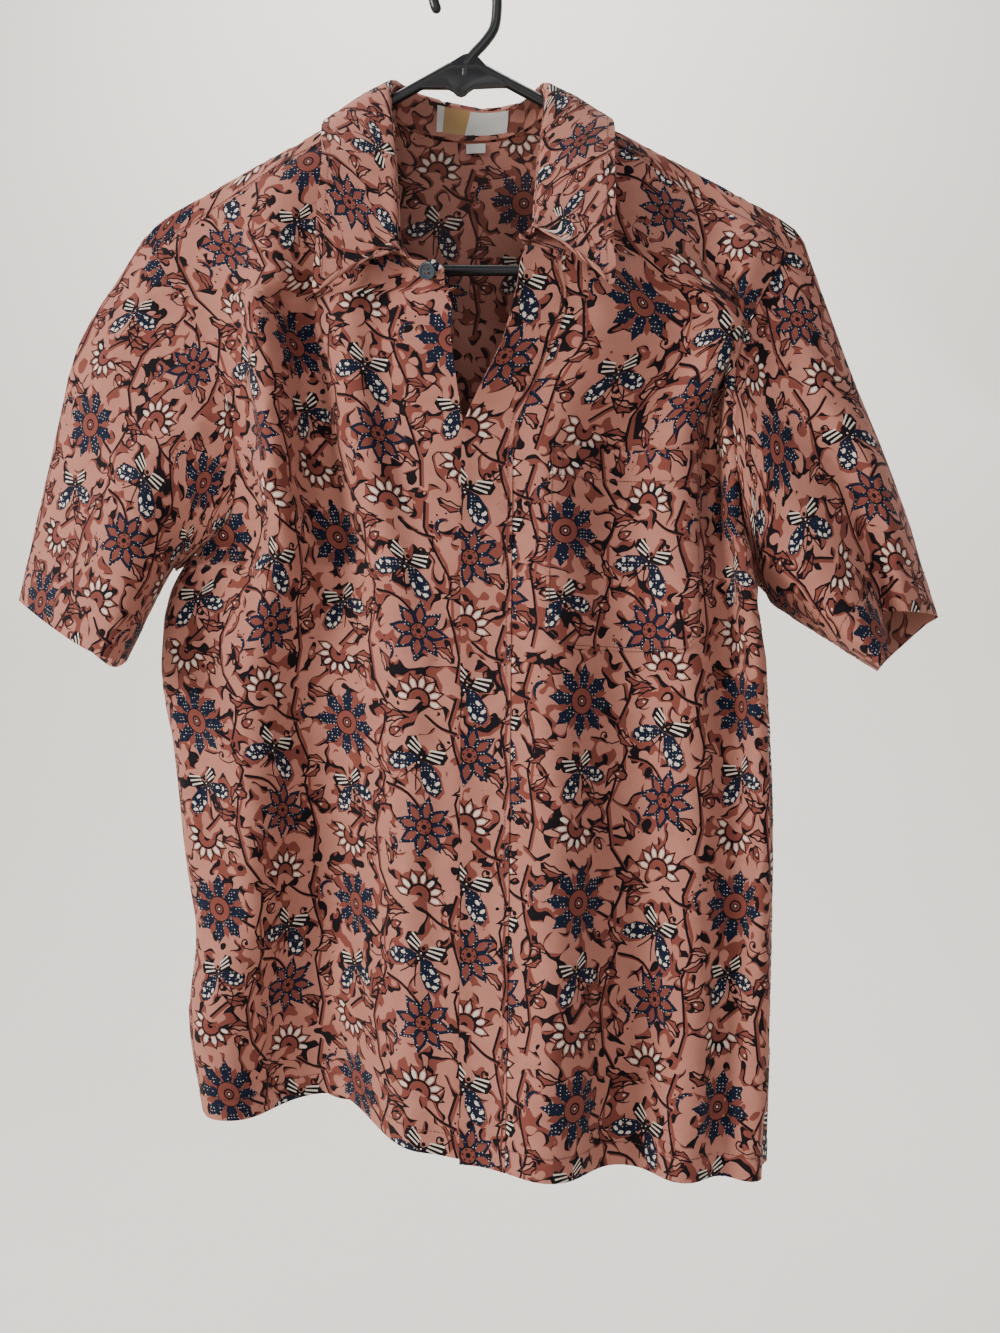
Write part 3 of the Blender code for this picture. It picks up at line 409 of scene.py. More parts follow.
class Rolled(Lattice):
    """A strip or tube of cloth whose flat cut is found by unrolling it from its middle column."""

    def __init__(self, a_values, b_values, points, middle, creases=(), flip=False):
        super().__init__(a_values, b_values, points, creases, flip)
        run = np.linalg.norm(np.diff(self.points, axis=1), axis=2)
        run = np.concatenate([np.zeros((run.shape[0], 1)), np.cumsum(run, axis=1)], axis=1)
        fall = np.linalg.norm(np.diff(self.points, axis=0), axis=2)
        fall = np.concatenate([np.zeros((1, fall.shape[1])), np.cumsum(fall, axis=0)], axis=0)
        # u from the middle column, v up from the last row, which is the straight edge
        self.flat = np.stack([run - run[:, [middle]], fall - fall[-1:]], axis=2)
        self.stretch = (run[:, -1].mean() / np.ptp(self.a), fall[-1].mean() / np.ptp(self.b))

    def to_flat(self, ab):
        return self.read(self.flat, ab[:, 0], ab[:, 1])

    def to_grid(self, uv):
        """From the flat cut back to the grid: the nearest node, then a few of Newton's steps."""
        tree = tree_of(self.flat.reshape(-1, 2))
        nearest = np.array([tree.find((u, v, 0))[1] for u, v in uv])
        j, i = np.divmod(nearest, len(self.a))
        a, b = self.a[i].copy(), self.b[j].copy()
        cell = np.array([np.diff(self.a).mean(), np.diff(self.b).mean()])
        small, reach = cell * 0.05, cell * 4
        for _ in range(12):
            miss = uv - self.read(self.flat, a, b, REACH)
            ua, ub = ((self.read(self.flat, a + da, b + db, REACH)
                       - self.read(self.flat, a - da, b - db, REACH)) / (da + db) / 2
                      for da, db in ((small[0], 0.0), (0.0, small[1])))
            det = ua[:, 0] * ub[:, 1] - ua[:, 1] * ub[:, 0]
            det = np.where(np.abs(det) < 0.02, 0.02 * np.sign(det + 1e-9), det)
            step_a = (miss[:, 0] * ub[:, 1] - miss[:, 1] * ub[:, 0]) / det
            step_b = (ua[:, 0] * miss[:, 1] - ua[:, 1] * miss[:, 0]) / det
            a = np.clip(a + np.clip(step_a, -cell[0], cell[0]),
                        self.a[0] - reach[0], self.a[-1] + reach[0])
            b = np.clip(b + np.clip(step_b, -cell[1], cell[1]),
                        self.b[0] - reach[1], self.b[-1] + reach[1])
        return np.stack([a, b], axis=1)


def crease_depth(creases, a, b):
    """How far the creases push each point out: troughs are negative."""
    out = np.zeros_like(a)
    for k in range(len(creases["depth"])):
        c = {name: column[k] for name, column in creases.items()}
        along = np.array([c["to_a"] - c["a"], c["to_b"] - c["b"]])
        length = max(np.hypot(*along), 1e-6)
        along = along / length
        s = ((a - c["a"]) * along[0] + (b - c["b"]) * along[1]) / length
        bow = c["bow"] * 4 * s * (1 - s)
        d = (a - c["a"]) * along[1] - (b - c["b"]) * along[0] - bow
        fade = np.exp(-np.clip(np.abs(s - 0.5) - 0.32, 0, None)**2 / 0.018)
        out += c["depth"] * fade * np.exp(-(d / c["width"])**2)
    return out


CREASE_COLUMNS = "a b to_a to_b width depth bow"


def panel_lattice(panel, u_from, u_to, v_from, v_to, creases):
    """A body panel sampled every few millimetres of its flat cut."""
    us = np.linspace(u_from, u_to, int((u_to - u_from) / 3.0) + 1)
    vs = np.linspace(v_from, v_to, int((v_to - v_from) / 4.0) + 1)
    rows = []
    for v in vs:
        vent = np.clip((v - VENT_V) / (HEM_V - VENT_V), 0, 1)     # the side vents gape a little
        rows.append(panel.place(us, v, VENT_GAPE * vent * np.clip((np.abs(us) - 225.0) / 45.0, 0, 1)**2))
    return Lattice(us, vs, rows, creases, flip=panel.side != "back")


# ---- the print: shapes in the flat cut, mm -----------------------------------------------
GROUND, ROSE, LINE, NAVY, CREAM = range(5)
REPEAT_U, REPEAT_V = 125.0, 131.0


def turned(points, turn, at=(0.0, 0.0), size=1.0, mirror=1):
    c, s = math.cos(math.radians(turn)), math.sin(math.radians(turn))
    p = np.asarray(points, float) * size * np.array([mirror, 1.0])
    return np.stack([p[:, 0] * c - p[:, 1] * s + at[0], p[:, 0] * s + p[:, 1] * c + at[1]], axis=1)


def disc(radius, at=(0.0, 0.0), n=8, squash=1.0, turn=0.0):
    a = np.arange(n) * 2 * math.pi / n
    return turned(np.stack([radius * np.cos(a), radius * squash * np.sin(a)], axis=1), turn, at)


def band(r_in, r_out, start, end, n):
    """A curved band, its outer radius a number or a function of how far round it is."""
    q = np.linspace(0, 1, n)
    a = np.radians(start + (end - start) * q)
    outer = r_out(q) if callable(r_out) else r_out + 0 * q
    return np.concatenate([np.stack([outer * np.cos(a), outer * np.sin(a)], axis=1),
                           np.stack([r_in * np.cos(a), r_in * np.sin(a)], axis=1)[::-1]])


def stroke(points, width_from, width_to, n=8):
    """A brush line through the points, tapering."""
    p = np.asarray(points, float)
    knots = np.linspace(0, 1, len(p))
    q = np.linspace(0, 1, n)
    line = np.stack([smooth_at(knots, p[:, k], q) for k in (0, 1)], axis=1)
    way = np.gradient(line, axis=0)
    way /= np.linalg.norm(way, axis=1, keepdims=True) + 1e-9
    side = np.stack([-way[:, 1], way[:, 0]], axis=1) * (width_from + (width_to - width_from) * q)[:, None] / 2
    return np.concatenate([line + side, (line - side)[::-1]])


def star_flower():
    """Eight jagged navy petals over rose ones, round a rose disc with a ringed eye."""
    rose = [(6, -2.0), (15, -3.4), (21.5, 0), (15, 3.4), (6, 2.0)]
    petal = [(7.5, -1.6), (12, -4.2), (14, -3.6), (18.5, -5.0), (19.6, -3.4), (25.5, 0),
             (20.6, 2.6), (19.4, 5.0), (14.5, 3.6), (11, 4.2), (7.5, 1.6)]
    shapes = [(ROSE, turned(rose, 22.5 + 45 * k)) for k in range(8)]
    shapes += [(NAVY, turned(petal, 45 * k)) for k in range(8)]
    return shapes + [(LINE, disc(9.4, n=16)), (ROSE, disc(8.6, n=14)), (LINE, disc(4.2, n=10)),
                     (ROSE, disc(3.0, n=8)), (LINE, disc(1.9, n=6)), (CREAM, disc(0.9, n=5))]


def outlined_flower():
    """Eight pointed rose petals in a beaded dark outline, round a beaded centre."""
    petal = [(5, -2.2), (11, -5.4), (15, -4.0), (22.5, 0), (15, 4.0), (11, 5.4), (5, 2.2)]
    inner = [(6.5, -0.8), (11.2, -2.9), (14.4, -1.9), (17.6, 0), (14.4, 1.9), (11.2, 2.9), (6.5, 0.8)]
    shapes = []
    for k in range(8):
        shapes += [(NAVY, turned(petal, 45 * k)), (ROSE, turned(inner, 45 * k))]
    shapes += [(LINE, disc(6.4, n=10)), (ROSE, disc(5.4, n=9)), (LINE, disc(2.0, n=6))]
    return shapes + [(LINE, disc(0.8, (4.0 * math.cos(a), 4.0 * math.sin(a)), 4))
                     for a in np.arange(6) * math.pi / 3]


def half_daisy():
    """Seven outlined petals with cream hearts fanned round a rose half disc."""
    petal = [(8, -3.0), (14, -3.6), (21, 0), (14, 3.6), (8, 3.0)]
    inner = [(8, -2.0), (13.8, -2.6), (18.6, 0), (13.8, 2.6), (8, 2.0)]
    shapes = [(ROSE, turned(band(8.0, 16.5, -8, 190, 9), 0, (2.2, 1.8)))]
    for k in range(7):
        turn = -4 + 31 * k
        shapes += [(LINE, turned(petal, turn)), (GROUND, turned(inner, turn)),
                   (CREAM, turned(disc(3.5, (12.6, 0), 7, 0.5), turn))]
    return shapes + [(LINE, band(0.0, 9.2, -16, 198, 10)), (ROSE, band(0.0, 7.6, -14, 196, 9)),
                     (LINE, band(0.0, 2.6, -8, 188, 5))]


def butterfly():
    """A winged spray: dotted navy upper wings, striped lower ones, round a beaded body."""
    shapes = []
    upper = [(1, 0.5), (5, 8.5), (11, 13.2), (17, 12.8), (18.2, 8), (14, 2.4), (7, -1.2), (1, -1)]
    lower = [(1, -1), (7, -1.6), (12.5, -4.5), (13, -9.5), (8.5, -12.5), (4, -8), (1, -4)]
    dots = [(7.4, 8.4, 50), (11.2, 10.6, 35), (15.0, 10.0, -20), (14.2, 6.0, -60), (9.6, 3.4, 20)]
    feeler = stroke([(0.5, 4), (2.4, 9), (5.6, 15)], 0.9, 0.7, 4)
    for side, size in ((1, 1.0), (-1, 0.9)):
        shapes += [(ROSE, turned(upper, -4, (side * 1.2, 1.4), size, side)),
                   (LINE, turned(lower, 0, (0, 0), size, side)),
                   (NAVY, turned(upper, 0, (0, 0), size, side))]
        for x, y, turn in dots:
            shapes.append((CREAM, turned(disc(1.75, (0, 0), 6, 0.6, turn), 0,
                                         (x * side * size, y * size), size, side)))
        for off in (0.0, 3.0, 6.0):
            stripe = [(2.6, -3 - off * 0.7), (10.6, -4.2 - off), (10.3, -5.3 - off), (2.8, -4.0 - off * 0.7)]
            shapes.append((CREAM, turned(stripe, 0, (0, 0), size, side)))
        shapes.append((LINE, turned(feeler, 0, (0, 0), size, side)))
    for y, r in ((3.6, 1.5), (1.0, 1.9), (-2.2, 1.7), (-5.2, 1.3)):
        shapes.append((LINE, disc(r, (0, y), 6)))
    return shapes + [(CREAM, disc(0.7, (0, 1.0), 4)), (CREAM, disc(0.6, (0, -2.2), 4))]


def jagged_leaf(length=22.0, half=5.2, bend=3.0, teeth=3):
    """A leaf with a saw edge, half rose and half ground, and a midrib."""
    def edge(side, grow):
        out = []
        for k in range(2 * teeth + 1):
            q = k / (2 * teeth)
            w = half * math.sin(math.pi * q**0.8) * (1.0 if k % 2 else 0.74) + grow
            out.append((length * q - (1.4 if k % 2 else 0),
                        side * max(w, 0.4) + bend * math.sin(math.pi * q)))
        return out
    upper, lower = edge(1, 0.0), edge(-1, 0.0)
    inner = edge(1, -1.3)
    rib = [(length * q, bend * math.sin(math.pi * q)) for q in np.linspace(0, 1, 5)]
    return [(LINE, np.array(upper + lower[::-1][1:-1])), (ROSE, np.array(inner[1:-1] + rib[::-1][1:-1])),
            (GROUND, np.array(edge(-1, -1.3)[1:-1] + rib[::-1][1:-1])), (LINE, stroke(rib, 1.1, 0.7, 4))]


def tendril(reach=13.0, curl=4.6, thick=1.9):
    """A curling line with a thick end."""
    a = np.linspace(0, 1, 9)
    turn = a * 5.2
    r = curl * (1 - 0.72 * a)
    spiral = [(reach + curl * 0.2 + r[k] * math.sin(turn[k]), curl - r[k] * math.cos(turn[k]))
              for k in range(9)]
    line = [(0, 2.5), (reach * 0.5, -1.0)] + spiral
    return [(LINE, stroke(line, 1.0, 1.5, 12)), (LINE, disc(thick, spiral[-1], 6))]


def bud():
    drop = [(0, -2.2), (4, -3.6), (8.5, -2.6), (12, 0), (8.5, 2.6), (4, 3.6), (0, 2.2)]
    return [(LINE, np.array(drop)), (ROSE, turned(drop, 0, (1.4, 0), 0.72)),
            (CREAM, disc(1.1, (7.2, 0), 5, 0.7)),
            (LINE, stroke([(1, 2), (5, 5.2), (9.5, 5.4)], 1.2, 0.5, 4)),
            (LINE, stroke([(1, -2), (5, -5.2), (9.5, -5.4)], 1.2, 0.5, 4))]


def dotted_crescent(radius=9.0):
    shapes = [(ROSE, turned(band(radius - 1.5, radius + 1.5, 20, 165, 7), 0, (0.9, 0.9))),
              (NAVY, band(radius - 1.1, lambda q: radius - 1.1 + 3.0 * np.sin(math.pi * q), 15, 170, 8))]
    for k in range(5):
        a = math.radians(28 + 32 * k)
        shapes.append((LINE, disc(0.95, ((radius + 4.4) * math.cos(a), (radius + 4.4) * math.sin(a)), 5)))
    return shapes


def stem(points, width=1.9):
    return [(ROSE, stroke(np.asarray(points, float) + (1.5, 1.0), width + 0.6, width, 7)),
            (LINE, stroke(points, width, width * 0.8, 8))]


# The repeat: what lies where, its turn, size and mirroring. Stems first, so that flowers cover them.
STEMS = [[(58, 0), (70, 22), (58, 46), (66, 70), (54, 96), (58, 131)],
         [(66, 70), (82, 74), (95, 88)], [(58, 46), (46, 40), (34, 36)],
         [(118, 10), (112, 34), (122, 60), (116, 84), (122, 108), (118, 131)],
         [(54, 96), (40, 98), (26, 110)], [(118, 34), (106, 30), (96, 22)]]
REPEAT = [("leaf", 62, 14, 20, 0.95, 1), ("leaf", 66, 28, 170, 0.9, -1), ("leaf", 60, 52, 46, 0.8, 1),
          ("leaf", 64, 76, 128, 0.9, 1), ("leaf", 55, 98, 14, 1.0, -1), ("leaf", 57, 120, 186, 0.9, 1),
          ("leaf", 120, 62, 196, 0.7, -1), ("leaf", 118, 92, -38, 0.8, 1),
          ("leaf", 118, 118, 214, 0.85, 1), ("leaf", 4, 66, 330, 0.8, -1), ("leaf", 70, 126, 250, 0.8, 1),
          ("leaf", 2, 8, 20, 0.9, 1), ("tendril", 46, 40, 250, 0.9, 1), ("tendril", 118, 36, 130, 0.9, 1),
          ("tendril", 44, 100, 70, 1.0, -1), ("tendril", 60, 62, 190, 0.8, 1),
          ("bud", 70, 36, -25, 0.9, 1), ("bud", 44, 124, 50, 0.9, 1), ("bud", 8, 98, 200, 0.9, 1),
          ("bud", 66, 84, 20, 0.9, -1), ("crescent", 4, 30, 120, 0.9, 1), ("crescent", 68, 112, 250, 0.8, 1),
          ("daisy", 92, 12, 195, 0.9, 1), ("daisy", 26, 116, 25, 0.85, 1),
          ("butterfly", 92, 53, 28, 1.25, 1), ("butterfly", 30, 80, -22, 1.1, -1),
          ("outlined", 95, 97, 10, 0.95, 1), ("star", 30, 34, 6, 0.98, 1)]
MOTIFS = {"leaf": jagged_leaf, "tendril": tendril, "bud": bud, "crescent": dotted_crescent,
          "daisy": half_daisy, "butterfly": butterfly, "outlined": outlined_flower, "star": star_flower}


def one_repeat():
    shapes = [shape for points in STEMS for shape in stem(points)]
    for kind, x, y, turn, size, mirror in REPEAT:
        made = MOTIFS[kind]()
        shapes += [(dye, turned(points, turn, (x, y), size, mirror)) for dye, points in made]
    return shapes


TILE = one_repeat()


def print_over(low, high, shift=(0.0, 0.0)):
    """The repeats that reach into a box of the flat cut."""
    shapes = []
    for i in range(int((low[0] - shift[0]) // REPEAT_U) - 1, int((high[0] - shift[0]) // REPEAT_U) + 2):
        for j in range(int((low[1] - shift[1]) // REPEAT_V) - 1, int((high[1] - shift[1]) // REPEAT_V) + 2):
            move = np.array([i * REPEAT_U + shift[0], j * REPEAT_V + shift[1]])
            for dye, points in TILE:
                p = points + move
                if (p.max(0) > low).all() and (p.min(0) < high).all():
                    shapes.append((dye, p))
    return shapes


# ---- cutting and laying a piece ----------------------------------------------------------
BLOCK = 64.0                 # a piece is cut by its print in blocks about this wide, mm
WHOLE = 1e6                  # so wide that a piece is one block
CLEAR_OF_EDGE, CLEAR_OF_BORDER = 0.45, 0.35   # inner points keep this far away, in spacings
SAME_POINT = 1e-3            # points of neighbouring blocks nearer than this are one


def inside(outline, points):
    """Which points lie inside a closed outline."""
    x, y = points[:, 0], points[:, 1]
    hit = np.zeros(len(points), bool)
    for (x0, y0), (x1, y1) in zip(outline, np.roll(outline, -1, axis=0)):
        if y0 != y1:
            hit ^= ((y0 > y) != (y1 > y)) & (x < (x1 - x0) * (y - y0) / (y1 - y0) + x0)
    return hit


def dense(points, step):
    """More points along a closed outline."""
    out = []
    for p, q in zip(points, np.roll(points, -1, axis=0)):
        n = max(int(np.hypot(*(q - p)) / step), 1)
        out += [p + (q - p) * k / n for k in range(n)]
    return np.array(out)


def cut_piece(outline, surface, spacing, shift, printed=None, block=BLOCK):
    """Cuts the flat piece by its print, block by block. Returns its points in the surface's grid,
    its faces and their dyes. Neighbouring blocks share the points of their common border.
    printed is the part that shows its print, as two corners of the grid; None is all of it and an
    empty one is nothing."""
    flat = surface.to_flat(outline if printed is None else np.array(printed, float))
    shapes = print_over(flat.min(0), flat.max(0), shift) if len(flat) else []
    if shapes:
        counts = [len(p) for _, p in shapes]
        moved = surface.to_grid(np.concatenate([p for _, p in shapes]))
        shapes = [(dye, p, p.min(0), p.max(0)) for (dye, _), p in
                  zip(shapes, np.split(moved, np.cumsum(counts)[:-1]))]
    step = spacing / np.array(surface.stretch)               # of the grid, for one spacing of cloth
    low, high = outline.min(0), outline.max(0)
    grid = np.array([(x + (step[0] / 2 if k % 2 else 0), y) for k, y in
                     enumerate(np.arange(low[1] + step[1] * 0.6, high[1], step[1] * 0.87))
                     for x in np.arange(low[0] + step[0] * 0.3, high[0], step[0])])
    near = tree_of(outline, step)
    clear = [near.find((p[0] / step[0], p[1] / step[1], 0))[2] > CLEAR_OF_EDGE for p in grid]
    grid = grid[inside(outline, grid) & np.array(clear)]
    start, end = outline, np.roll(outline, -1, axis=0)
    edge_low, edge_high = np.minimum(start, end), np.maximum(start, end)
    counts = [max(round((high[k] - low[k]) / (step[k] * block / spacing)), 1) for k in (0, 1)]
    # the borders start and end clear of the outline's own points
    blocks = [np.linspace(low[k] - 0.137, high[k] + 0.153, counts[k] + 1) for k in (0, 1)]
    all_points, all_faces, all_dyes, total = [], [], [], 0
    for x0, x1 in zip(blocks[0], blocks[0][1:]):
        for y0, y1 in zip(blocks[1], blocks[1][1:]):
            crossing = np.nonzero((edge_low[:, 0] < x1) & (edge_high[:, 0] > x0)
                                  & (edge_low[:, 1] < y1) & (edge_high[:, 1] > y0))[0]
            if not len(crossing) and not inside(outline, np.array([[(x0 + x1) / 2, (y0 + y1) / 2]]))[0]:
                continue
            m, n = max(round((x1 - x0) / step[0]), 1), max(round((y1 - y0) / step[1]), 1)
            verts = ([(x0 + (x1 - x0) * k / m, y0) for k in range(m)]
                     + [(x1, y0 + (y1 - y0) * k / n) for k in range(n)]
                     + [(x0 + (x1 - x0) * k / m, y1) for k in range(m, 0, -1)]
                     + [(x0, y0 + (y1 - y0) * k / n) for k in range(n, 0, -1)])
            faces, edges = [list(range(len(verts)))], []
            for k in crossing:
                edges.append((len(verts), len(verts) + 1))
                verts += [tuple(start[k]), tuple(end[k])]
            shown = [shape for shape in shapes if shape[2][0] < x1 and shape[3][0] > x0
                     and shape[2][1] < y1 and shape[3][1] > y0]
            for _, points, _, _ in shown:
                faces.append(list(range(len(verts), len(verts) + len(points))))
                verts += [tuple(p) for p in points]
            clear_x, clear_y = step * CLEAR_OF_BORDER
            here = grid[(grid[:, 0] > x0 + clear_x) & (grid[:, 0] < x1 - clear_x)
                        & (grid[:, 1] > y0 + clear_y) & (grid[:, 1] < y1 - clear_y)]
            verts += [tuple(p) for p in here]
            found = delaunay_2d_cdt([Vector(p) for p in verts], edges, faces, 0, 1e-7, False)
            points, triangles = np.array([tuple(p) for p in found[0]]), np.array(found[2])
            middles = points[triangles].mean(axis=1)
            held = (middles > (x0, y0)).all(axis=1) & (middles < (x1, y1)).all(axis=1)
            if len(crossing):
                held &= inside(outline, middles)
            triangles, middles = triangles[held], middles[held]
            if not len(triangles):
                continue
            dyes = np.full(len(triangles), GROUND)
            for dye, shape, p_low, p_high in shown:          # the later shape lies over the earlier
                close = np.nonzero((middles > p_low).all(axis=1) & (middles < p_high).all(axis=1))[0]
                dyes[close[inside(shape, middles[close])]] = dye
            all_points.append(points)
            all_faces.append(triangles + total)
            all_dyes.append(dyes)
            total += len(points)
    points, triangles = np.concatenate(all_points), np.concatenate(all_faces)
    dyes = np.concatenate(all_dyes)
    _, first, same = np.unique(np.round(points / SAME_POINT).astype(np.int64), axis=0, return_index=True,
                               return_inverse=True)
    points, triangles = points[first], same.reshape(-1)[triangles]
    whole = ((triangles[:, 0] != triangles[:, 1]) & (triangles[:, 1] != triangles[:, 2])
             & (triangles[:, 2] != triangles[:, 0]))
    triangles, dyes = triangles[whole], dyes[whole]
    kept = np.unique(triangles)
    renumber = np.full(len(points), -1)
    renumber[kept] = np.arange(len(kept))
    return points[kept], renumber[triangles], dyes


# ---- materials ---------------------------------------------------------------------------
class Stuff:
    """A material while its nodes are laid out."""

    def __init__(self, name):
        self.made = bpy.data.materials.new(name)
        self.made.use_nodes = True
        self.nodes, self.links = self.made.node_tree.nodes, self.made.node_tree.links
        self.shader = self.nodes["Principled BSDF"]

    def feed(self, socket, value):
        """A socket gets another node's output, a colour or a number."""
        if isinstance(value, bpy.types.NodeSocket):
            self.links.new(value, socket)
        elif socket.type == "RGBA":
            socket.default_value = (*value, 1)
        else:
            socket.default_value = value

    def node(self, kind, output=0, **values):
        """One output of a new node; the values are its settings and its inputs."""
        made = self.nodes.new(kind)
        for key, value in values.items():
            if hasattr(made, key):
                setattr(made, key, value)
            else:
                self.feed(made.inputs[key.replace("_", " ")], value)
        return made.outputs[output]

    def noise(self, place, **values):
        return self.node("ShaderNodeTexNoise", "Fac", Vector=place, **values)

    def maths(self, operation, *values):
        made = self.nodes.new("ShaderNodeMath")
        made.operation = operation
        for socket, value in zip(made.inputs, values):
            self.feed(socket, value)
        return made.outputs[0]

    def mixed(self, factor, a, b, blend="MIX"):
        made = self.nodes.new("ShaderNodeMix")
        made.data_type, made.blend_type = "RGBA", blend
        for k, value in ((0, factor), (6, a), (7, b)):       # the node's colour sockets are 6 and 7
            self.feed(made.inputs[k], value)
        return made.outputs[2]

    def finish(self, colour, height, bump, **surface):
        """Joins colour and bump to the shader and sets its own values."""
        self.feed(self.shader.inputs["Base Color"], colour)
        if height is not None:
            self.feed(self.shader.inputs["Normal"], self.node("ShaderNodeBump", Height=height, Strength=bump,
                                                              Distance=0.0003))
        for key, value in surface.items():
            self.feed(self.shader.inputs[key.replace("_", " ")], value)
        return self.made


DYE_COLOURS = {GROUND: (0.44, 0.184, 0.138), ROSE: (0.20, 0.054, 0.040), LINE: (0.006, 0.003, 0.005),
               NAVY: (0.005, 0.009, 0.026), CREAM: (0.72, 0.63, 0.53)}
THREADS_PER_M = 9200.0       # the weave's two waves, radians per metre of cloth


def printed_cloth(name):
    """Plain-weave cloth, dyed by the faces the print cuts, with mottled ground and dots in the navy."""
    stuff = Stuff(name)
    maths, mixed = stuff.maths, stuff.mixed
    dye = stuff.node("ShaderNodeAttribute", "Fac", attribute_name="dye")
    uv = stuff.node("ShaderNodeUVMap", "UV", uv_map="cut")
    ramp = stuff.nodes.new("ShaderNodeValToRGB")
    ramp.color_ramp.interpolation = "CONSTANT"
    stops = ramp.color_ramp.elements
    while len(stops) < len(DYE_COLOURS):
        stops.new(0.5)
    for k, stop in enumerate(stops):
        stop.position = max((k - 0.1) / len(DYE_COLOURS), 0)
        stop.color = (*DYE_COLOURS[k], 1)
    stuff.feed(ramp.inputs[0], maths("DIVIDE", dye, 5.0))
    colour = ramp.outputs[0]
    is_ground = maths("LESS_THAN", dye, 0.5)
    # curling tendrils fill the ground: a dark line of changing width, with a rose shadow on one side
    away = maths("SUBTRACT", stuff.noise(uv, Scale=64.0, Detail=0.0, Distortion=0.9), 0.5)
    broken = stuff.noise(uv, Scale=105.0, Detail=0.0)
    is_line = maths("LESS_THAN", maths("ABSOLUTE", away), maths("MULTIPLY_ADD", broken, 0.24, -0.099))
    is_shadow = maths("MULTIPLY", maths("GREATER_THAN", away, 0.0),
                      maths("LESS_THAN", away, maths("MULTIPLY_ADD", broken, 0.90, -0.345)))
    for where, other in ((is_shadow, ROSE), (is_line, LINE)):
        colour = mixed(maths("MULTIPLY", where, is_ground), colour, DYE_COLOURS[other])
    # the dyes took unevenly
    patch = maths("MULTIPLY_ADD", stuff.noise(uv, Scale=55.0, Detail=4.0, Roughness=0.62), 0.9, -0.3)
    patch.node.use_clamp = True
    colour = mixed(patch, colour, (0.62, 0.52, 0.50), "MULTIPLY")
    # small reserved dots in the navy
    dots = stuff.node("ShaderNodeTexVoronoi", "Distance", Vector=uv, Scale=430.0, Randomness=0.3)
    is_navy = maths("COMPARE", dye, float(NAVY), 0.4)
    colour = mixed(maths("MULTIPLY", maths("LESS_THAN", dots, 0.17), is_navy), colour, (0.66, 0.58, 0.50))
    # the inner face has taken less dye
    inner = stuff.node("ShaderNodeAttribute", "Fac", attribute_name="inner")
    colour = mixed(maths("MULTIPLY", inner, 0.07), colour, (0.42, 0.24, 0.20))
    # weave
    axes = [stuff.node("ShaderNodeSeparateXYZ", k, Vector=uv) for k in (0, 1)]
    threads = [maths("SINE", maths("MULTIPLY", axis, THREADS_PER_M)) for axis in axes]
    weave = maths("MULTIPLY", *threads)
    colour = mixed(maths("MULTIPLY_ADD", weave, 0.09, 0.09), colour, (0.35, 0.3, 0.3), "MULTIPLY")
    slub = stuff.noise(stuff.node("ShaderNodeTexCoord", "Object"), Scale=420.0, Detail=2.0)
    return stuff.finish(colour, maths("ADD", weave, slub), 0.22, Roughness=0.86, Sheen_Weight=0.03,
                        Sheen_Roughness=0.5, Specular_IOR_Level=0.16)


def grained(name, colour, other, scale, roughness, bump, stretch=(1, 1, 1)):
    """A plain stuff with a little grain: thread, plastic, shell or satin."""
    stuff = Stuff(name)
    place = stuff.node("ShaderNodeMapping", Vector=stuff.node("ShaderNodeTexCoord", "Object"), Scale=stretch)
    grain = stuff.noise(place, Scale=scale, Detail=3.0)
    return stuff.finish(stuff.mixed(grain, colour, other), grain, bump,
                        Roughness=stuff.maths("MULTIPLY_ADD", grain, 0.12, roughness - 0.06))


CLOTH = printed_cloth("printed_cloth")
THREAD = grained("thread", (0.16, 0.05, 0.042), (0.09, 0.03, 0.026), 900, 0.7, 0.3)
PLASTIC = grained("black_plastic", (0.004, 0.004, 0.0045), (0.008, 0.008, 0.009), 260, 0.34, 0.12)
SHELL = grained("dark_shell", (0.018, 0.030, 0.042), (0.05, 0.07, 0.085), 160, 0.22, 0.05, (1, 3, 1))
SATIN = grained("label_satin", (0.62, 0.60, 0.56), (0.48, 0.47, 0.43), 1400, 0.42, 0.25, (1, 1, 8))
OCHRE = grained("label_ochre", (0.42, 0.25, 0.09), (0.33, 0.19, 0.07), 1400, 0.5, 0.25, (1, 1, 8))


# ---- laying a cut piece on its surface ---------------------------------------------------
class EdgeRule:
    """How a piece's outer face rises and falls near a line: shape gets the distance from it, and the
    number of its nearest point."""

    def __init__(self, line, shape):
        self.line, self.shape = np.asarray(line, float), shape
        self.tree = tree_of(self.line)

    def rise(self, ab):
        found = [self.tree.find((p[0], p[1], 0)) for p in ab]
        d = np.array([f[2] for f in found])
        k = np.array([f[1] for f in found], float)
        return self.shape(d, k)


def sewn(d, k):
    """A seam: the edge dips into its groove."""
    return -0.9 * np.exp(-(d / 1.5)**2) + 0.22 * np.exp(-((d - 4.0) / 2.2)**2)


def hemmed(depth, pucker=0.22):
    """A turned hem: double cloth up to its stitch line, with small puckers along it."""
    def shape(d, k):
        layer = 0.225 * (1 - np.tanh((d - depth) / 1.0))
        dip = -0.28 * np.exp(-((d - depth) / 1.0)**2)
        wave = pucker * np.sin(k * 0.83 + np.sin(k * 0.31) * 1.7) * np.exp(-((d - depth) / 5.0)**2)
        return layer + dip + wave
    return shape


def topstitched(depth, dip=0.3):
    def shape(d, k):
        return -dip * np.exp(-((d - depth) / 0.9)**2) - 0.25 * np.exp(-(d / 0.8)**2)
    return shape


INNER_SPACING = 0.86         # the inner face's points, against the outer face's
SLOPE_STEP = 0.4             # of the grid: how far apart a slope is read, each way
LAID = {}                    # by node: where the laid piece's outer face is, from its grid


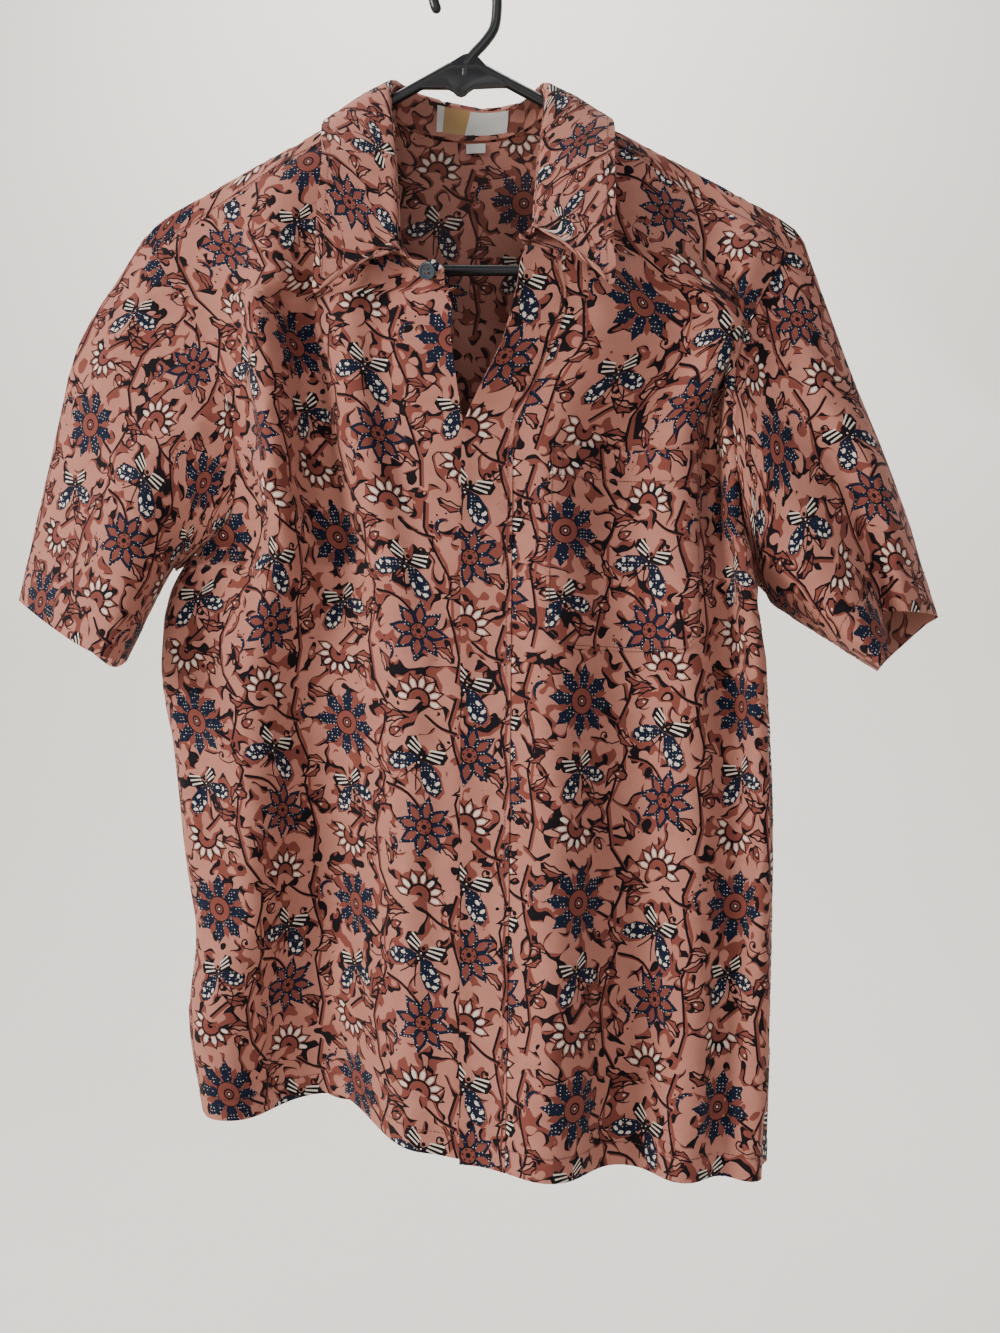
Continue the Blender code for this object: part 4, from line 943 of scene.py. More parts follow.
def lay(node_name, outline, surface, thickness, rules=(), out=0.0, spacing=7.0,
        shift=(0.0, 0.0), line_step=3.5, swell=None, inner_print=()):
    """Cuts a piece by its print, lays it on its surface and gives it its thickness. The inner face
    is cut plainer, and shows the print only in inner_print, two corners of the grid."""
    name = node_name + "_cloth"
    outline = dense(np.asarray(outline, float), line_step)
    points, triangles, dyes = cut_piece(outline, surface, spacing, shift)

    def placed(ab):
        ab = np.asarray(ab, float)
        lift = np.full(len(ab), float(out))
        for rule in rules:
            lift += rule.rise(ab)
        if swell is not None:
            lift += swell(ab)
        return surface.at(ab[:, 0], ab[:, 1], lift)

    def settled(ab):
        """Points, and normals that follow the creases and hems too."""
        p, n = placed(ab)
        over = placed(ab + (SLOPE_STEP, 0))[0] - placed(ab - (SLOPE_STEP, 0))[0]
        down = placed(ab + (0, SLOPE_STEP))[0] - placed(ab - (0, SLOPE_STEP))[0]
        normal = np.cross(over, down)
        length = np.linalg.norm(normal, axis=1, keepdims=True)
        normal = np.where(length > 1e-4, normal / np.maximum(length, 1e-9), n)
        return p, normal * np.where((normal * n).sum(1) < 0, -1.0, 1.0)[:, None]

    LAID[node_name] = placed
    p, normal = settled(points)
    face_normal = np.cross(p[triangles[:, 1]] - p[triangles[:, 0]], p[triangles[:, 2]] - p[triangles[:, 0]])
    turned_over = (face_normal * normal[triangles[:, 0]]).sum() < 0
    if turned_over:
        triangles = triangles[:, ::-1]
    rim = rim_loop(triangles, len(p))
    shown_inside = np.array(inner_print, float).reshape(-1, 2)
    inner_points, inner_faces, inner_dyes = cut_piece(points[rim], surface, spacing * INNER_SPACING, shift,
                                                      shown_inside, WHOLE)
    near = tree_of(inner_points)
    joined = np.array([near.find((*points[k], 0))[1] for k in rim]) + len(p)
    q, inner_normal = settled(inner_points)
    if not turned_over:
        inner_faces = inner_faces[:, ::-1]
    ahead, joined_ahead = np.roll(rim, -1), np.roll(joined, -1)
    rim_faces = np.concatenate([np.stack([ahead, rim, joined], axis=1),
                                np.stack([ahead, joined, joined_ahead], axis=1)])
    vertices = np.concatenate([p, q - inner_normal * thickness]) * MM
    faces = np.concatenate([triangles, inner_faces + len(p), rim_faces])
    dyes = np.concatenate([dyes, inner_dyes, np.zeros(len(rim_faces))])
    inner = np.concatenate([np.zeros(len(triangles)), np.ones(len(inner_faces)), np.zeros(len(rim_faces))])

    mesh = bpy.data.meshes.new(name)
    mesh.vertices.add(len(vertices))
    mesh.vertices.foreach_set("co", vertices.ravel())
    mesh.loops.add(faces.size)
    mesh.loops.foreach_set("vertex_index", faces.ravel().astype(np.int32))
    mesh.polygons.add(len(faces))
    mesh.polygons.foreach_set("loop_start", np.arange(len(faces), dtype=np.int32) * 3)
    mesh.update(calc_edges=True)
    mesh.polygons.foreach_set("use_smooth", np.ones(len(faces), bool))
    for label, values in (("dye", dyes), ("inner", inner)):
        mesh.attributes.new(label, "FLOAT", "FACE").data.foreach_set("value", values.astype(np.float32))
    both = np.concatenate([points, inner_points])
    flat = surface.to_flat(both)
    mesh.uv_layers.new(name="cut").data.foreach_set("uv", (flat[faces] * MM).astype(np.float32).ravel())
    low, size = flat.min(0), np.ptp(flat, axis=0)
    scale = max(size[0] * 2.06, size[1] * 1.02)
    bake = (flat - low) / scale + 0.003
    bake[len(p):] += (size[0] * 1.02 / scale, 0)             # the inner face lies beside the outer one
    bake = bake[faces]
    sides = len(triangles) + len(inner_faces)
    bake[sides:] = np.where((rim_faces < len(p))[..., None], bake[sides:],
                            bake[sides:] - (size[0] * 1.02 / scale, 0))
    mesh.uv_layers.new(name="OFBake").data.foreach_set("uv", bake.astype(np.float32).ravel())
    loops = np.concatenate([normal, -inner_normal])[faces]
    across = np.cross(vertices[rim_faces[:, 1]] - vertices[rim_faces[:, 0]],
                      vertices[rim_faces[:, 2]] - vertices[rim_faces[:, 0]])
    loops[sides:] = (across / (np.linalg.norm(across, axis=1, keepdims=True) + 1e-12))[:, None, :]
    mesh.normals_split_custom_set(loops.reshape(-1, 3).tolist())
    mesh.materials.append(CLOTH)
    piece = add_object(name, mesh)
    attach(piece, "root")
    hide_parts(node_name)
    edge = surface.to_flat(outline)
    x, y = edge[:, 0], edge[:, 1]
    area = abs(np.dot(x, np.roll(y, -1)) - np.dot(y, np.roll(x, -1))) / 2
    print(f"{name}: {len(faces)} triangles, cut {size[0]:.0f} x {size[1]:.0f} mm, {area / 1e6:.4f} m2",
          flush=True)
    return piece


def rim_loop(triangles, count):
    """The piece's edge, in order."""
    edges = np.concatenate([triangles[:, [0, 1]], triangles[:, [1, 2]], triangles[:, [2, 0]]])
    key = np.sort(edges, axis=1)
    _, first, times = np.unique(key[:, 0] * count + key[:, 1], return_index=True, return_counts=True)
    ahead = {int(a): int(b) for a, b in edges[first[times == 1]]}
    here = next(iter(ahead))
    loop = [here]
    while ahead[loop[-1]] != here:
        loop.append(ahead[loop[-1]])
    if len(loop) != len(ahead):
        raise ValueError(f"the piece's edge is {len(loop)} of {len(ahead)} long")
    return np.array(loop)


def dense_open(points, step):
    """More points along an open line."""
    return [q for a, b in zip(points, points[1:])
            for q in straight(a, b, max(int(math.dist(a, b) / step), 1))]


# ---- body panels -------------------------------------------------------------------------
VENT_V, VENT_GAPE = HEM_V - 72.0, 2.6
HEM_DEPTH, CUFF_STITCH = 15.0, 28.0 * 0.95        # edge to stitch line
CLOTH_THICK = 0.6


def creases(rows, deeper=1.4):
    made = table(CREASE_COLUMNS, rows)
    made["depth"] *= deeper
    return made


RIGHT_CREASES = creases([
    (-214, 250, -120, 330, 7, 2.0, 6), (-236, 318, -170, 372, 6, -1.8, 4), (-258, 345, -190, 420, 7, 1.8, 5),
    (-205, 175, -150, 250, 8, 1.4, 4), (-232, 420, -176, 520, 9, 1.6, -6), (-246, 470, -214, 600, 8, -1.8, 5),
    (-60, 240, -30, 330, 7, 1.1, 4), (-24, 300, -44, 420, 5, 1.0, 3), (-110, 560, -80, 660, 9, 1.3, 6),
    (-150, 640, -120, 715, 8, -1.5, 4), (-190, 650, -204, 722, 7, 1.5, 3), (-50, 600, -36, 700, 7, 0.9, -3),
    (-130, 110, -96, 190, 10, -1.2, 5), (-34, 480, -60, 560, 6, 0.8, 2), (-225, 610, -250, 690, 6, 1.2, 3),
    (-256, 395, -236, 470, 5, -1.2, 3)])
LEFT_CREASES = creases([
    (208, 240, 150, 235, 6, 1.2, 4), (216, 290, 170, 330, 6, -1.6, 4), (258, 345, 205, 410, 6, 1.8, 4),
    (240, 330, 190, 370, 5, 1.4, -4), (60, 150, 96, 215, 9, 1.2, 5), (120, 100, 140, 200, 9, -1.0, 5),
    (30, 420, 60, 520, 7, 1.0, 4), (50, 560, 44, 690, 8, 1.6, 5), (84, 470, 110, 600, 9, -1.4, 6),
    (130, 420, 120, 560, 8, 1.2, 5), (160, 560, 176, 710, 8, 1.6, 4), (210, 470, 190, 600, 7, -1.6, 4),
    (236, 520, 226, 700, 6, 1.6, 3), (110, 640, 96, 720, 7, -1.3, 3), (70, 655, 80, 722, 6, 1.1, 2),
    (200, 640, 204, 722, 5, 1.2, 2)])
BACK_CREASES = creases([
    (-214, 250, -130, 320, 8, 1.8, 6), (214, 255, 120, 330, 8, 1.8, -6), (-250, 340, -180, 430, 8, -1.8, 5),
    (248, 340, 190, 425, 7, -1.8, -5), (-90, 330, -110, 470, 10, 1.5, 8), (40, 300, 60, 450, 9, -1.4, 6),
    (120, 420, 150, 560, 9, 1.5, 6), (-160, 500, -140, 640, 8, -1.4, 6), (-20, 520, -36, 690, 9, 1.5, 5),
    (90, 600, 80, 715, 8, -1.3, 4), (200, 560, 212, 710, 7, 1.4, 4), (-220, 580, -204, 715, 7, 1.4, 4),
    (-60, 90, -100, 170, 12, 1.0, 5), (80, 95, 120, 180, 12, 1.0, -5), (-70, 640, -84, 720, 7, 1.2, 3)])

front_right_form = panel_lattice(FRONTS["right"], -273, 21, 8, HEM_V + 2, RIGHT_CREASES)
front_left_form = panel_lattice(FRONTS["left"], -21, 273, 8, HEM_V + 2, LEFT_CREASES)
back_form = panel_lattice(BACK, -273, 273, -36, HEM_V + 1, BACK_CREASES)


SEAM_HALF = 222.0            # where the shoulder seam meets the sleeve seam


def neck_arc(edge, depth, n=26):
    """The front neckline, from the front edge up to the shoulder."""
    from_turn = math.acos((edge - PLACKET_IN) / (NECK_HALF - PLACKET_IN))
    turns = np.linspace(from_turn, 0.0, n)
    return [(PLACKET_IN + (NECK_HALF - PLACKET_IN) * math.cos(a),
             NECK_ARC_V + (depth - NECK_ARC_V) * math.sin(a)) for a in turns]


def shoulder_line(side, n=30):
    """The shoulder seam from the neck to the sleeve, in a front's or the back's cut."""
    sign = 1 if side == "front" else -1
    return [(u, ridge_v(u) + sign * shoulder_seam(u)) for u in np.linspace(NECK_HALF, SEAM_HALF, n)]


def armhole_line(cut, v_from, n=60):
    return [(float(smooth_at(cut["v"], cut["u"], v)), v) for v in np.linspace(v_from, ARMPIT_V, n)]


def straight(a, b, n):
    return [(a[0] + (b[0] - a[0]) * k / n, a[1] + (b[1] - a[1]) * k / n) for k in range(n + 1)]


def mirrored(points):
    return [(-u, v) for u, v in points]


FRONT_ARM_V = ridge_v(SEAM_HALF) + shoulder_seam(SEAM_HALF)
arm_front = armhole_line(FRONT_ARMHOLE, FRONT_ARM_V)
SIDE_STEPS = 130
SEWN_STEPS = int(SIDE_STEPS * (VENT_V - ARMPIT_V) / (HEM_V - ARMPIT_V))   # down to the vent
side_front = straight((CHEST_HALF, ARMPIT_V), (CHEST_HALF, HEM_V), SIDE_STEPS)


def front_outline(edge, depth):
    neck, shoulder = neck_arc(edge, depth), shoulder_line("front")
    hem = straight((CHEST_HALF, HEM_V), (edge, HEM_V), 90)
    front = straight((edge, HEM_V), (edge, depth), 180)
    seams = neck + shoulder + arm_front + side_front[:SEWN_STEPS]
    outline = neck[:-1] + shoulder[:-1] + arm_front[:-1] + side_front[:-1] + hem[:-1] + front[:-1]
    return outline, seams, hem


outline, seams, hem = front_outline(PLACKET_IN, RIGHT_NECK_V)
front_right = lay("front_right", mirrored(outline), front_right_form,
                  CLOTH_THICK, [EdgeRule(mirrored(seams), sewn), EdgeRule(mirrored(hem), hemmed(HEM_DEPTH))],
                  shift=(-12.0, 20.0))
LEFT_EDGE = PLACKET_OUT
_, depth_here = neck_arc(LEFT_EDGE, LEFT_NECK_V)[0]
outline, seams, hem = front_outline(LEFT_EDGE, depth_here)
placket_seam = straight((LEFT_EDGE, HEM_V), (LEFT_EDGE, depth_here), 180)
front_left = lay("front_left", outline, front_left_form, CLOTH_THICK,
                 [EdgeRule(seams, sewn), EdgeRule(hem, hemmed(HEM_DEPTH)), EdgeRule(placket_seam, sewn)],
                 shift=(38.0, -6.0))

band_in, band_out, band_end = PLACKET_IN + 0.01, PLACKET_OUT - 0.1, HEM_V + 0.4
placket_outline = [p for p in neck_arc(band_in, LEFT_NECK_V, 40) if p[0] <= PLACKET_OUT - 0.2]
placket_outline += [(band_out, depth_here)] + straight((band_out, depth_here + 3), (band_out, band_end), 180)
placket_outline += straight((PLACKET_OUT - 4, band_end), (band_in, band_end), 8)
placket_outline += straight((band_in, HEM_V - 3), (band_in, LEFT_NECK_V + 3), 180)
placket_edge = straight((PLACKET_OUT, HEM_V), (PLACKET_OUT, depth_here), 300)
placket = lay("placket", placket_outline, front_left_form, 1.5,
              [EdgeRule(placket_edge, topstitched(3.4, 0.35))],
              out=0.55, shift=(18.0, -30.0), line_step=2.5,
              swell=lambda ab: 1.3 * np.exp(-((ab[:, 0] - PLACKET_IN) / 6.0)**2))

neck_back = [(u, BACK_NECK_DROP * (1 - (u / NECK_HALF)**2)) for u in np.linspace(0, NECK_HALF, 24)]
corner = straight((NECK_HALF, 0), (NECK_HALF, -shoulder_seam(NECK_HALF)), 8)
arm_wrap = [(wrap_u(t), ridge_v(wrap_u(t)) - t) for t in np.linspace(WRAP_DEEP - 0.4, 0, 12)]
arm_back = armhole_line(BACK_ARMHOLE, TIP_V)
BACK_HEM_V = HEM_V - 3
side_back = straight((CHEST_HALF, ARMPIT_V), (CHEST_HALF, BACK_HEM_V), SIDE_STEPS)
half = (neck_back[:-1] + corner[:-1] + shoulder_line("back")[:-1] + arm_wrap[:-1] + arm_back[:-1]
        + side_back[:-1] + straight((CHEST_HALF, BACK_HEM_V), (0, BACK_HEM_V), 90))
half_seams = (neck_back + corner + shoulder_line("back") + arm_wrap + arm_back
              + side_back[:SEWN_STEPS])
back_outline = half[:-1] + mirrored(half[::-1])[:-1]
back_hem = straight((-CHEST_HALF, BACK_HEM_V), (CHEST_HALF, BACK_HEM_V), 180)
back = lay("back", back_outline, back_form, CLOTH_THICK,
           [EdgeRule(half_seams + mirrored(half_seams), sewn), EdgeRule(back_hem, hemmed(HEM_DEPTH))],
           shift=(8.0, 30.0), inner_print=((-72, 10), (72, 130)))

# ---- chest pocket ------------------------------------------------------------------------
u0, u1, v0, v1, cut = (POCKET[k] for k in ("u0", "u1", "v0", "v1", "chamfer"))
pocket_outline = (straight((u0, v0), (u1, v0), 24) + straight((u1, v0 + 4), (u1, v1 - cut), 24)
                  + straight((u1 - cut, v1), (u0 + cut, v1), 20) + straight((u0, v1 - cut), (u0, v0 + 4), 24))
pocket_sides = (straight((u1, v0), (u1, v1 - cut), 50) + straight((u1, v1 - cut), (u1 - cut, v1), 6)
                + straight((u1 - cut, v1), (u0 + cut, v1), 40) + straight((u0 + cut, v1), (u0, v1 - cut), 6)
                + straight((u0, v1 - cut), (u0, v0), 50))


def pocket_swell(ab):
    """The pocket bags a little between its stitched sides, most at its mouth."""
    across = (ab[:, 0] - u0) / (u1 - u0)
    down = (ab[:, 1] - v0) / (v1 - v0)
    return 1.3 * np.clip(4 * across * (1 - across), 0, 1)**1.5 * np.clip(1.15 - down, 0, 1)**0.8


pocket = lay("chest_pocket", pocket_outline, front_left_form, 0.6,
             [EdgeRule(pocket_sides, topstitched(2.0, 0.3))], out=1.15, shift=(22.0, 14.0), line_step=2.5,
             swell=pocket_swell)

# ---- sleeves -----------------------------------------------------------------------------
SLEEVE_ROUND, SLEEVE_LONG, SEAM_LINE = 410.0, 250.0, 5.0
# Each line runs from the armhole to the cuff: the height of the cut at which it leaves the armhole,
# down the front and up the back again, then where it passes at mid sleeve and at the cuff. "fold" is
# how much it follows the outer fold above mid sleeve.
SLEEVE_COLUMNS = "arm_v fold mid_x mid_y mid_z cuff_x cuff_y cuff_z"
RIGHT_SLEEVE = table(SLEEVE_COLUMNS, [
    (TIP_V, 1.0, -308, 3, -354, -329, 5, -441),
    (130, 0.8, -268, -28, -365, -294, -34, -457),
    (190, 0.5, -228, -50, -379, -258, -62, -474),
    (250, 0.2, -206, -44, -394, -235, -72, -483),
    (305, 0.0, -204, -22, -412, -232, -44, -484),
    (ARMPIT_V, 0.0, -214, -2, -425, -244, -8, -486),
    (300, 0.0, -226, 26, -412, -268, 26, -489),
    (230, 0.4, -246, 42, -384, -297, 42, -472),
    (150, 0.8, -284, 32, -362, -317, 30, -456)])
LEFT_SLEEVE = table(SLEEVE_COLUMNS, [
    (TIP_V, 1.0, 294, 5, -367, 322, 10, -455),
    (130, 0.8, 279, -24, -372, 297, -22, -453),
    (190, 0.5, 262, -14, -374, 282, -14, -455),
    (250, 0.2, 232, -36, -395, 279, -48, -475),
    (305, 0.0, 209, -32, -422, 273, -64, -487),
    (ARMPIT_V, 0.0, 217, -6, -452, 275, -38, -492),
    (300, 0.0, 236, 30, -432, 288, 6, -485),
    (230, 0.4, 262, 40, -400, 306, 32, -472),
    (150, 0.8, 284, 30, -374, 317, 26, -461)])
UPPER_FOLD = {"right": Vector((-281, 2, -258)), "left": Vector((262, 3, -284))}
STATIONS = (0.0, 0.34, 0.68, 1.0)


def closed_curve(points, q):
    """A smooth closed curve through the points, q counts them."""
    n, i = len(points), int(q) % len(points)
    f = q - int(q)
    a, b, c, d = (points[(i + k) % n] for k in (-1, 0, 1, 2))
    return 0.5 * (2 * b + (c - a) * f + (2 * a - 5 * b + 4 * c - d) * f * f
                  + (3 * b - a - 3 * c + d) * f**3)


def armhole_point(side, lines, q):
    """The torso's own edge at line q."""
    n = len(lines["arm_v"])
    heights = list(lines["arm_v"]) + [TIP_V]
    i, f = int(q) % n, q - int(q)
    v = heights[i] + (heights[i + 1] - heights[i]) * f
    sign = -1 if side == "right" else 1
    cut, panel = (FRONT_ARMHOLE, FRONTS[side]) if i < 5 else (BACK_ARMHOLE, BACK)
    if i < 5 and v < FRONT_ARMHOLE["v"][0]:          # the back wraps over the shoulder to its seam here
        t = (v - TIP_V) / (FRONT_ARMHOLE["v"][0] - TIP_V) * WRAP_DEEP
        u = wrap_u(t)
        return BACK.point(sign * u, ridge_v(u) - t)
    return panel.point(sign * float(smooth_at(cut["v"], cut["u"], v)), v)


def sleeve_point(side, lines, q, s):
    """q around from the outer fold by the front, s along from the armhole to the cuff."""
    n = len(lines["arm_v"])
    mids = [Vector((lines["mid_x"][k], lines["mid_y"][k], lines["mid_z"][k])) for k in range(n)]
    cuffs = [Vector((lines["cuff_x"][k], lines["cuff_y"][k], lines["cuff_z"][k])) for k in range(n)]
    arm = armhole_point(side, lines, q)
    mid, cuff = closed_curve(mids, q), closed_curve(cuffs, q)
    fold = float(np.interp(q, range(n + 1), list(lines["fold"]) + [1.0]))
    shift = UPPER_FOLD[side] - (armhole_point(side, lines, 0.0) + mids[0]) / 2
    upper = (arm + mid) / 2 + shift * fold
    stations = [arm, upper, mid, cuff]
    knots = np.array(STATIONS)
    return Vector([float(smooth_at(knots, np.array([p[k] for p in stations]), s)) for k in range(3)])


SLEEVE_CREASES = {
    "right": creases([
        (60, 30, 120, 120, 9, 1.8, 8), (110, 40, 150, 160, 8, -2.0, 8), (160, 20, 190, 120, 9, 1.4, 6),
        (230, 20, 215, 110, 9, 1.5, 6), (40, 60, 70, 180, 7, -1.6, 6), (90, 120, 130, 235, 8, 1.6, 6),
        (300, 30, 260, 150, 9, 1.6, 6), (340, 60, 310, 200, 8, -1.6, 6), (20, 20, 50, 90, 6, 1.6, 4)]),
    "left": creases([
        (60, 24, 100, 110, 8, 2.0, 8), (90, 40, 140, 170, 8, -2.0, 8), (140, 60, 170, 220, 9, 1.8, 6),
        (220, 30, 240, 130, 9, 1.4, 6), (40, 70, 60, 200, 7, 1.6, 6), (110, 150, 150, 240, 7, -1.4, 5),
        (300, 30, 270, 150, 9, 1.6, 6), (340, 60, 320, 200, 8, -1.6, 6), (18, 20, 44, 90, 6, -1.6, 4)])}


def sleeve_piece(side, lines):
    """One sleeve, cut from the underarm seam round to the underarm seam."""
    around, along = 108, 27
    a = np.linspace(0, SLEEVE_ROUND, around + 1)
    b = np.linspace(0, SLEEVE_LONG, along + 1)
    grid = [[sleeve_point(side, lines, (SEAM_LINE + 9.0 * i / around) % 9.0, j / along)
             for i in range(around + 1)] for j in range(along + 1)]
    form = Rolled(a, b, [[tuple(p) for p in row] for row in grid], round(around * 4 / 9))
    centre = form.points.mean(axis=(0, 1))
    outward = ((form.points - centre) * form.normals).sum(axis=2).mean() > 0
    form = Rolled(a, b, form.points, round(around * 4 / 9), SLEEVE_CREASES[side], flip=not outward)
    top = straight((0, 0), (SLEEVE_ROUND, 0), 150)
    seam = straight((SLEEVE_ROUND, 0), (SLEEVE_ROUND, SLEEVE_LONG), 70)
    cuff = straight((SLEEVE_ROUND, SLEEVE_LONG), (0, SLEEVE_LONG), 150)
    other = straight((0, SLEEVE_LONG), (0, 0), 70)
    return lay(f"sleeve_{side}",
               top[:-1] + seam[:-1] + cuff[:-1] + other[:-1], form, CLOTH_THICK,
               [EdgeRule(top + seam + other, sewn), EdgeRule(cuff, hemmed(CUFF_STITCH))],
               shift=(14.0 if side == "right" else 70.0, -44.0), line_step=4.0)


sleeve_right = sleeve_piece("right", RIGHT_SLEEVE)
sleeve_left = sleeve_piece("left", LEFT_SLEEVE)

# ---- collar ------------------------------------------------------------------------------
# Stations along the collar from the wearer's right front end round the back to the left front end.
# "top" is the stand's top and the leaf's fold, "edge" the leaf's free edge.
COLLAR = table("top_x top_y top_z edge_x edge_y edge_z", [
    (-9, -55, -214, 0, 0, 0),
    (-37, -54, -213, -84, -64, -231),
    (-43, -42, -172, -94, -54, -198),
    (-48, -26, -125, -94, -38, -145),
    (-54, -2, -79, -98, 0, -101),
    (-36, 30, -77, -66, 56, -112),
    (6, 42, -84, 4, 68, -122),
    (38, 31, -85, 70, 56, -120),
    (58, -2, -86, 101, 0, -110),
    (57, -30, -135, 105, -42, -152),
    (55, -50, -178, 105, -66, -202),
    (54, -68, -205, 96, -82, -236),
    (44, -76, -206, 0, 0, 0)])
STATION = np.arange(13.0)
LEAF_FROM, LEAF_TO = 1.0, 11.0


def collar_at(prefix, s):
    return Vector([float(smooth_at(STATION, COLLAR[prefix + axis], s)) for axis in ("_x", "_y", "_z")])


def neck_point(s):
    """The neckline at station s, on the torso."""
    if 4.0 <= s <= 8.0:
        u = -NECK_HALF + 2 * NECK_HALF * (s - 4.0) / 4.0
        return BACK.point(u, BACK_NECK_DROP * (1 - (u / NECK_HALF)**2))
    side, depth, sign = ("right", RIGHT_NECK_V, -1) if s < 4.0 else ("left", LEFT_NECK_V, 1)
    reach = min(s, 12.0 - s)
    turn = math.radians(float(np.interp(reach, [0, 1, 2, 3, 3.7], [90, 68, 45, 20, 0])))
    u = PLACKET_IN + (NECK_HALF - PLACKET_IN) * math.cos(turn)
    v = NECK_ARC_V + (depth - NECK_ARC_V) * math.sin(turn)
    v *= min((4.0 - reach) / 0.3, 1.0)
    return FRONTS[side].point(sign * u, v)


def neck_inward(s):
    """Toward the neck's middle at station s."""
    top = collar_at("top", s)
    return Vector((4.0 - top.x, -top.y * 0.6, 0)).normalized()


def stand_line(s):
    """The stand at station s: it rises from the neckline to just inside the fold."""
    low, inward = neck_point(s), neck_inward(s)
    top = collar_at("top", s) + inward * 3.0 + Vector((0, 0, -2.2))
    return low + (top - low).normalized() * 1.6 + inward * 0.6, top


def leaf_path(s, k):
    """The leaf at station s: from the stand's top over the fold and down to its edge, k from 0 to 1."""
    top, edge, inward = collar_at("top", s), collar_at("edge", s), neck_inward(s)
    up = Vector((0, 0, 1))
    mid = top.lerp(edge, 0.45) + up * 3.0
    path = [stand_line(s)[1] - inward * 0.4, top + inward * 1.7 + up * 1.2, top - inward * 0.4 + up * 1.3,
            top.lerp(mid, 0.3) + up * 1.3, mid, mid.lerp(edge, 0.5), edge]
    knots = np.array([0.0, 0.05, 0.1, 0.28, 0.52, 0.76, 1.0])
    return [float(smooth_at(knots, np.array([p[axis] for p in path]), k)) for axis in range(3)]


def outward_form(a, b, points, middle):
    """A collar surface whose normals point away from the neck's middle."""
    form = Rolled(a, b, points, middle)
    away = form.points - np.array([4.0, 0.0, 0.0])
    away[..., 2] = 0
    if (away * form.normals).sum() < 0:
        form = Rolled(a, b, points, middle, flip=True)
    return form


COLLAR_LONG = 420.0          # the collar's grid: this long, with the stand and the leaf this wide
PER_STATION = COLLAR_LONG / 12
STAND_WIDE, LEAF_WIDE = 30.0, 62.0
stand_a = np.linspace(0, 12, 121)
stand_lines = [stand_line(s) for s in stand_a]
stand_form = outward_form(stand_a * PER_STATION, np.linspace(0, STAND_WIDE, 9), [
    [tuple(low.lerp(top, 1 - k)) for low, top in stand_lines] for k in np.linspace(0, 1, 9)], 60)
stand_outline = [(0, STAND_WIDE), (0, 12), (PER_STATION * 0.25, 3), (PER_STATION * 0.7, 0)]
stand_outline += straight((PER_STATION * 0.8, 0), (PER_STATION * 11.2, 0), 100)
stand_outline += [(PER_STATION * 11.3, 0), (PER_STATION * 11.75, 3), (COLLAR_LONG, 12),
                  (COLLAR_LONG, STAND_WIDE)]
stand_seam = straight((0, STAND_WIDE), (COLLAR_LONG, STAND_WIDE), 120)
stand = lay("collar_stand", stand_outline, stand_form, 1.2,
            [EdgeRule(stand_seam, sewn)], shift=(30.0, 52.0), line_step=3.0, spacing=6.0)

leaf_a = np.linspace(LEAF_FROM, LEAF_TO, 121)
leaf_b = np.concatenate([np.linspace(0, 0.14, 8), np.linspace(0.18, 1, 18)])
leaf_form = Rolled((leaf_a - LEAF_FROM) * PER_STATION, leaf_b * LEAF_WIDE,
                   [[leaf_path(s, k) for s in leaf_a] for k in leaf_b], 60)
if leaf_form.normals[18, 60, 1] < 0:         # at the middle of the back it has to face back
    leaf_form = Rolled(leaf_form.a, leaf_form.b, leaf_form.points, 60, flip=True)
leaf_end = leaf_form.a[-1]
leaf_outline = (straight((0, 0), (leaf_end, 0), 120)[:-1]
                + straight((leaf_end, 0), (leaf_end, LEAF_WIDE), 20)[:-1]
                + straight((leaf_end, LEAF_WIDE), (0, LEAF_WIDE), 120)[:-1]
                + straight((0, LEAF_WIDE), (0, 0), 20)[:-1])
leaf_edge = (straight((leaf_end, 9), (leaf_end, LEAF_WIDE), 60)
             + straight((leaf_end, LEAF_WIDE), (0, LEAF_WIDE), 300)
             + straight((0, LEAF_WIDE), (0, 9), 60))
leaf = lay("collar_leaf", leaf_outline, leaf_form, 1.2,
           [EdgeRule(leaf_edge, topstitched(6.0, 0.32))], shift=(64.0, 8.0), line_step=3.0, spacing=6.0)

# ---- small solid parts -------------------------------------------------------------------
def to_mesh(bm, name):
    mesh = bpy.data.meshes.new(name)
    bm.to_mesh(mesh)
    bm.free()
    return mesh


def ring_at(bm, at, across, other, radius, sides):
    """A ring of vertices round a point, spanned by two directions."""
    return [bm.verts.new(at + (across * math.cos(a) + other * math.sin(a)) * radius)
            for a in np.arange(sides) * 2 * math.pi / sides]


def bridge(bm, rings):
    """Faces between each ring and the next."""
    for low, high in zip(rings, rings[1:]):
        for k in range(len(low)):
            after = (k + 1) % len(low)
            bm.faces.new((low[k], low[after], high[after], high[k]))


# ---- stitches ----------------------------------------------------------------------------
def stitch_mesh():
    """One stitch, 1 long along X: a thread that dives at both ends."""
    bm = bmesh.new()
    rings = []
    for x, z, r in ((-0.5, -0.35, 0.35), (-0.28, 0.25, 0.5), (0.28, 0.25, 0.5), (0.5, -0.35, 0.35)):
        rings.append([bm.verts.new((x, r * math.cos(a), z + r * math.sin(a)))
                      for a in (0.26, 1.83, 3.40, 4.97)])
    bridge(bm, rings)
    bm.faces.new(rings[0][::-1])
    bm.faces.new(rings[-1])
    bmesh.ops.recalc_face_normals(bm, faces=bm.faces)
    return to_mesh(bm, "one_stitch")


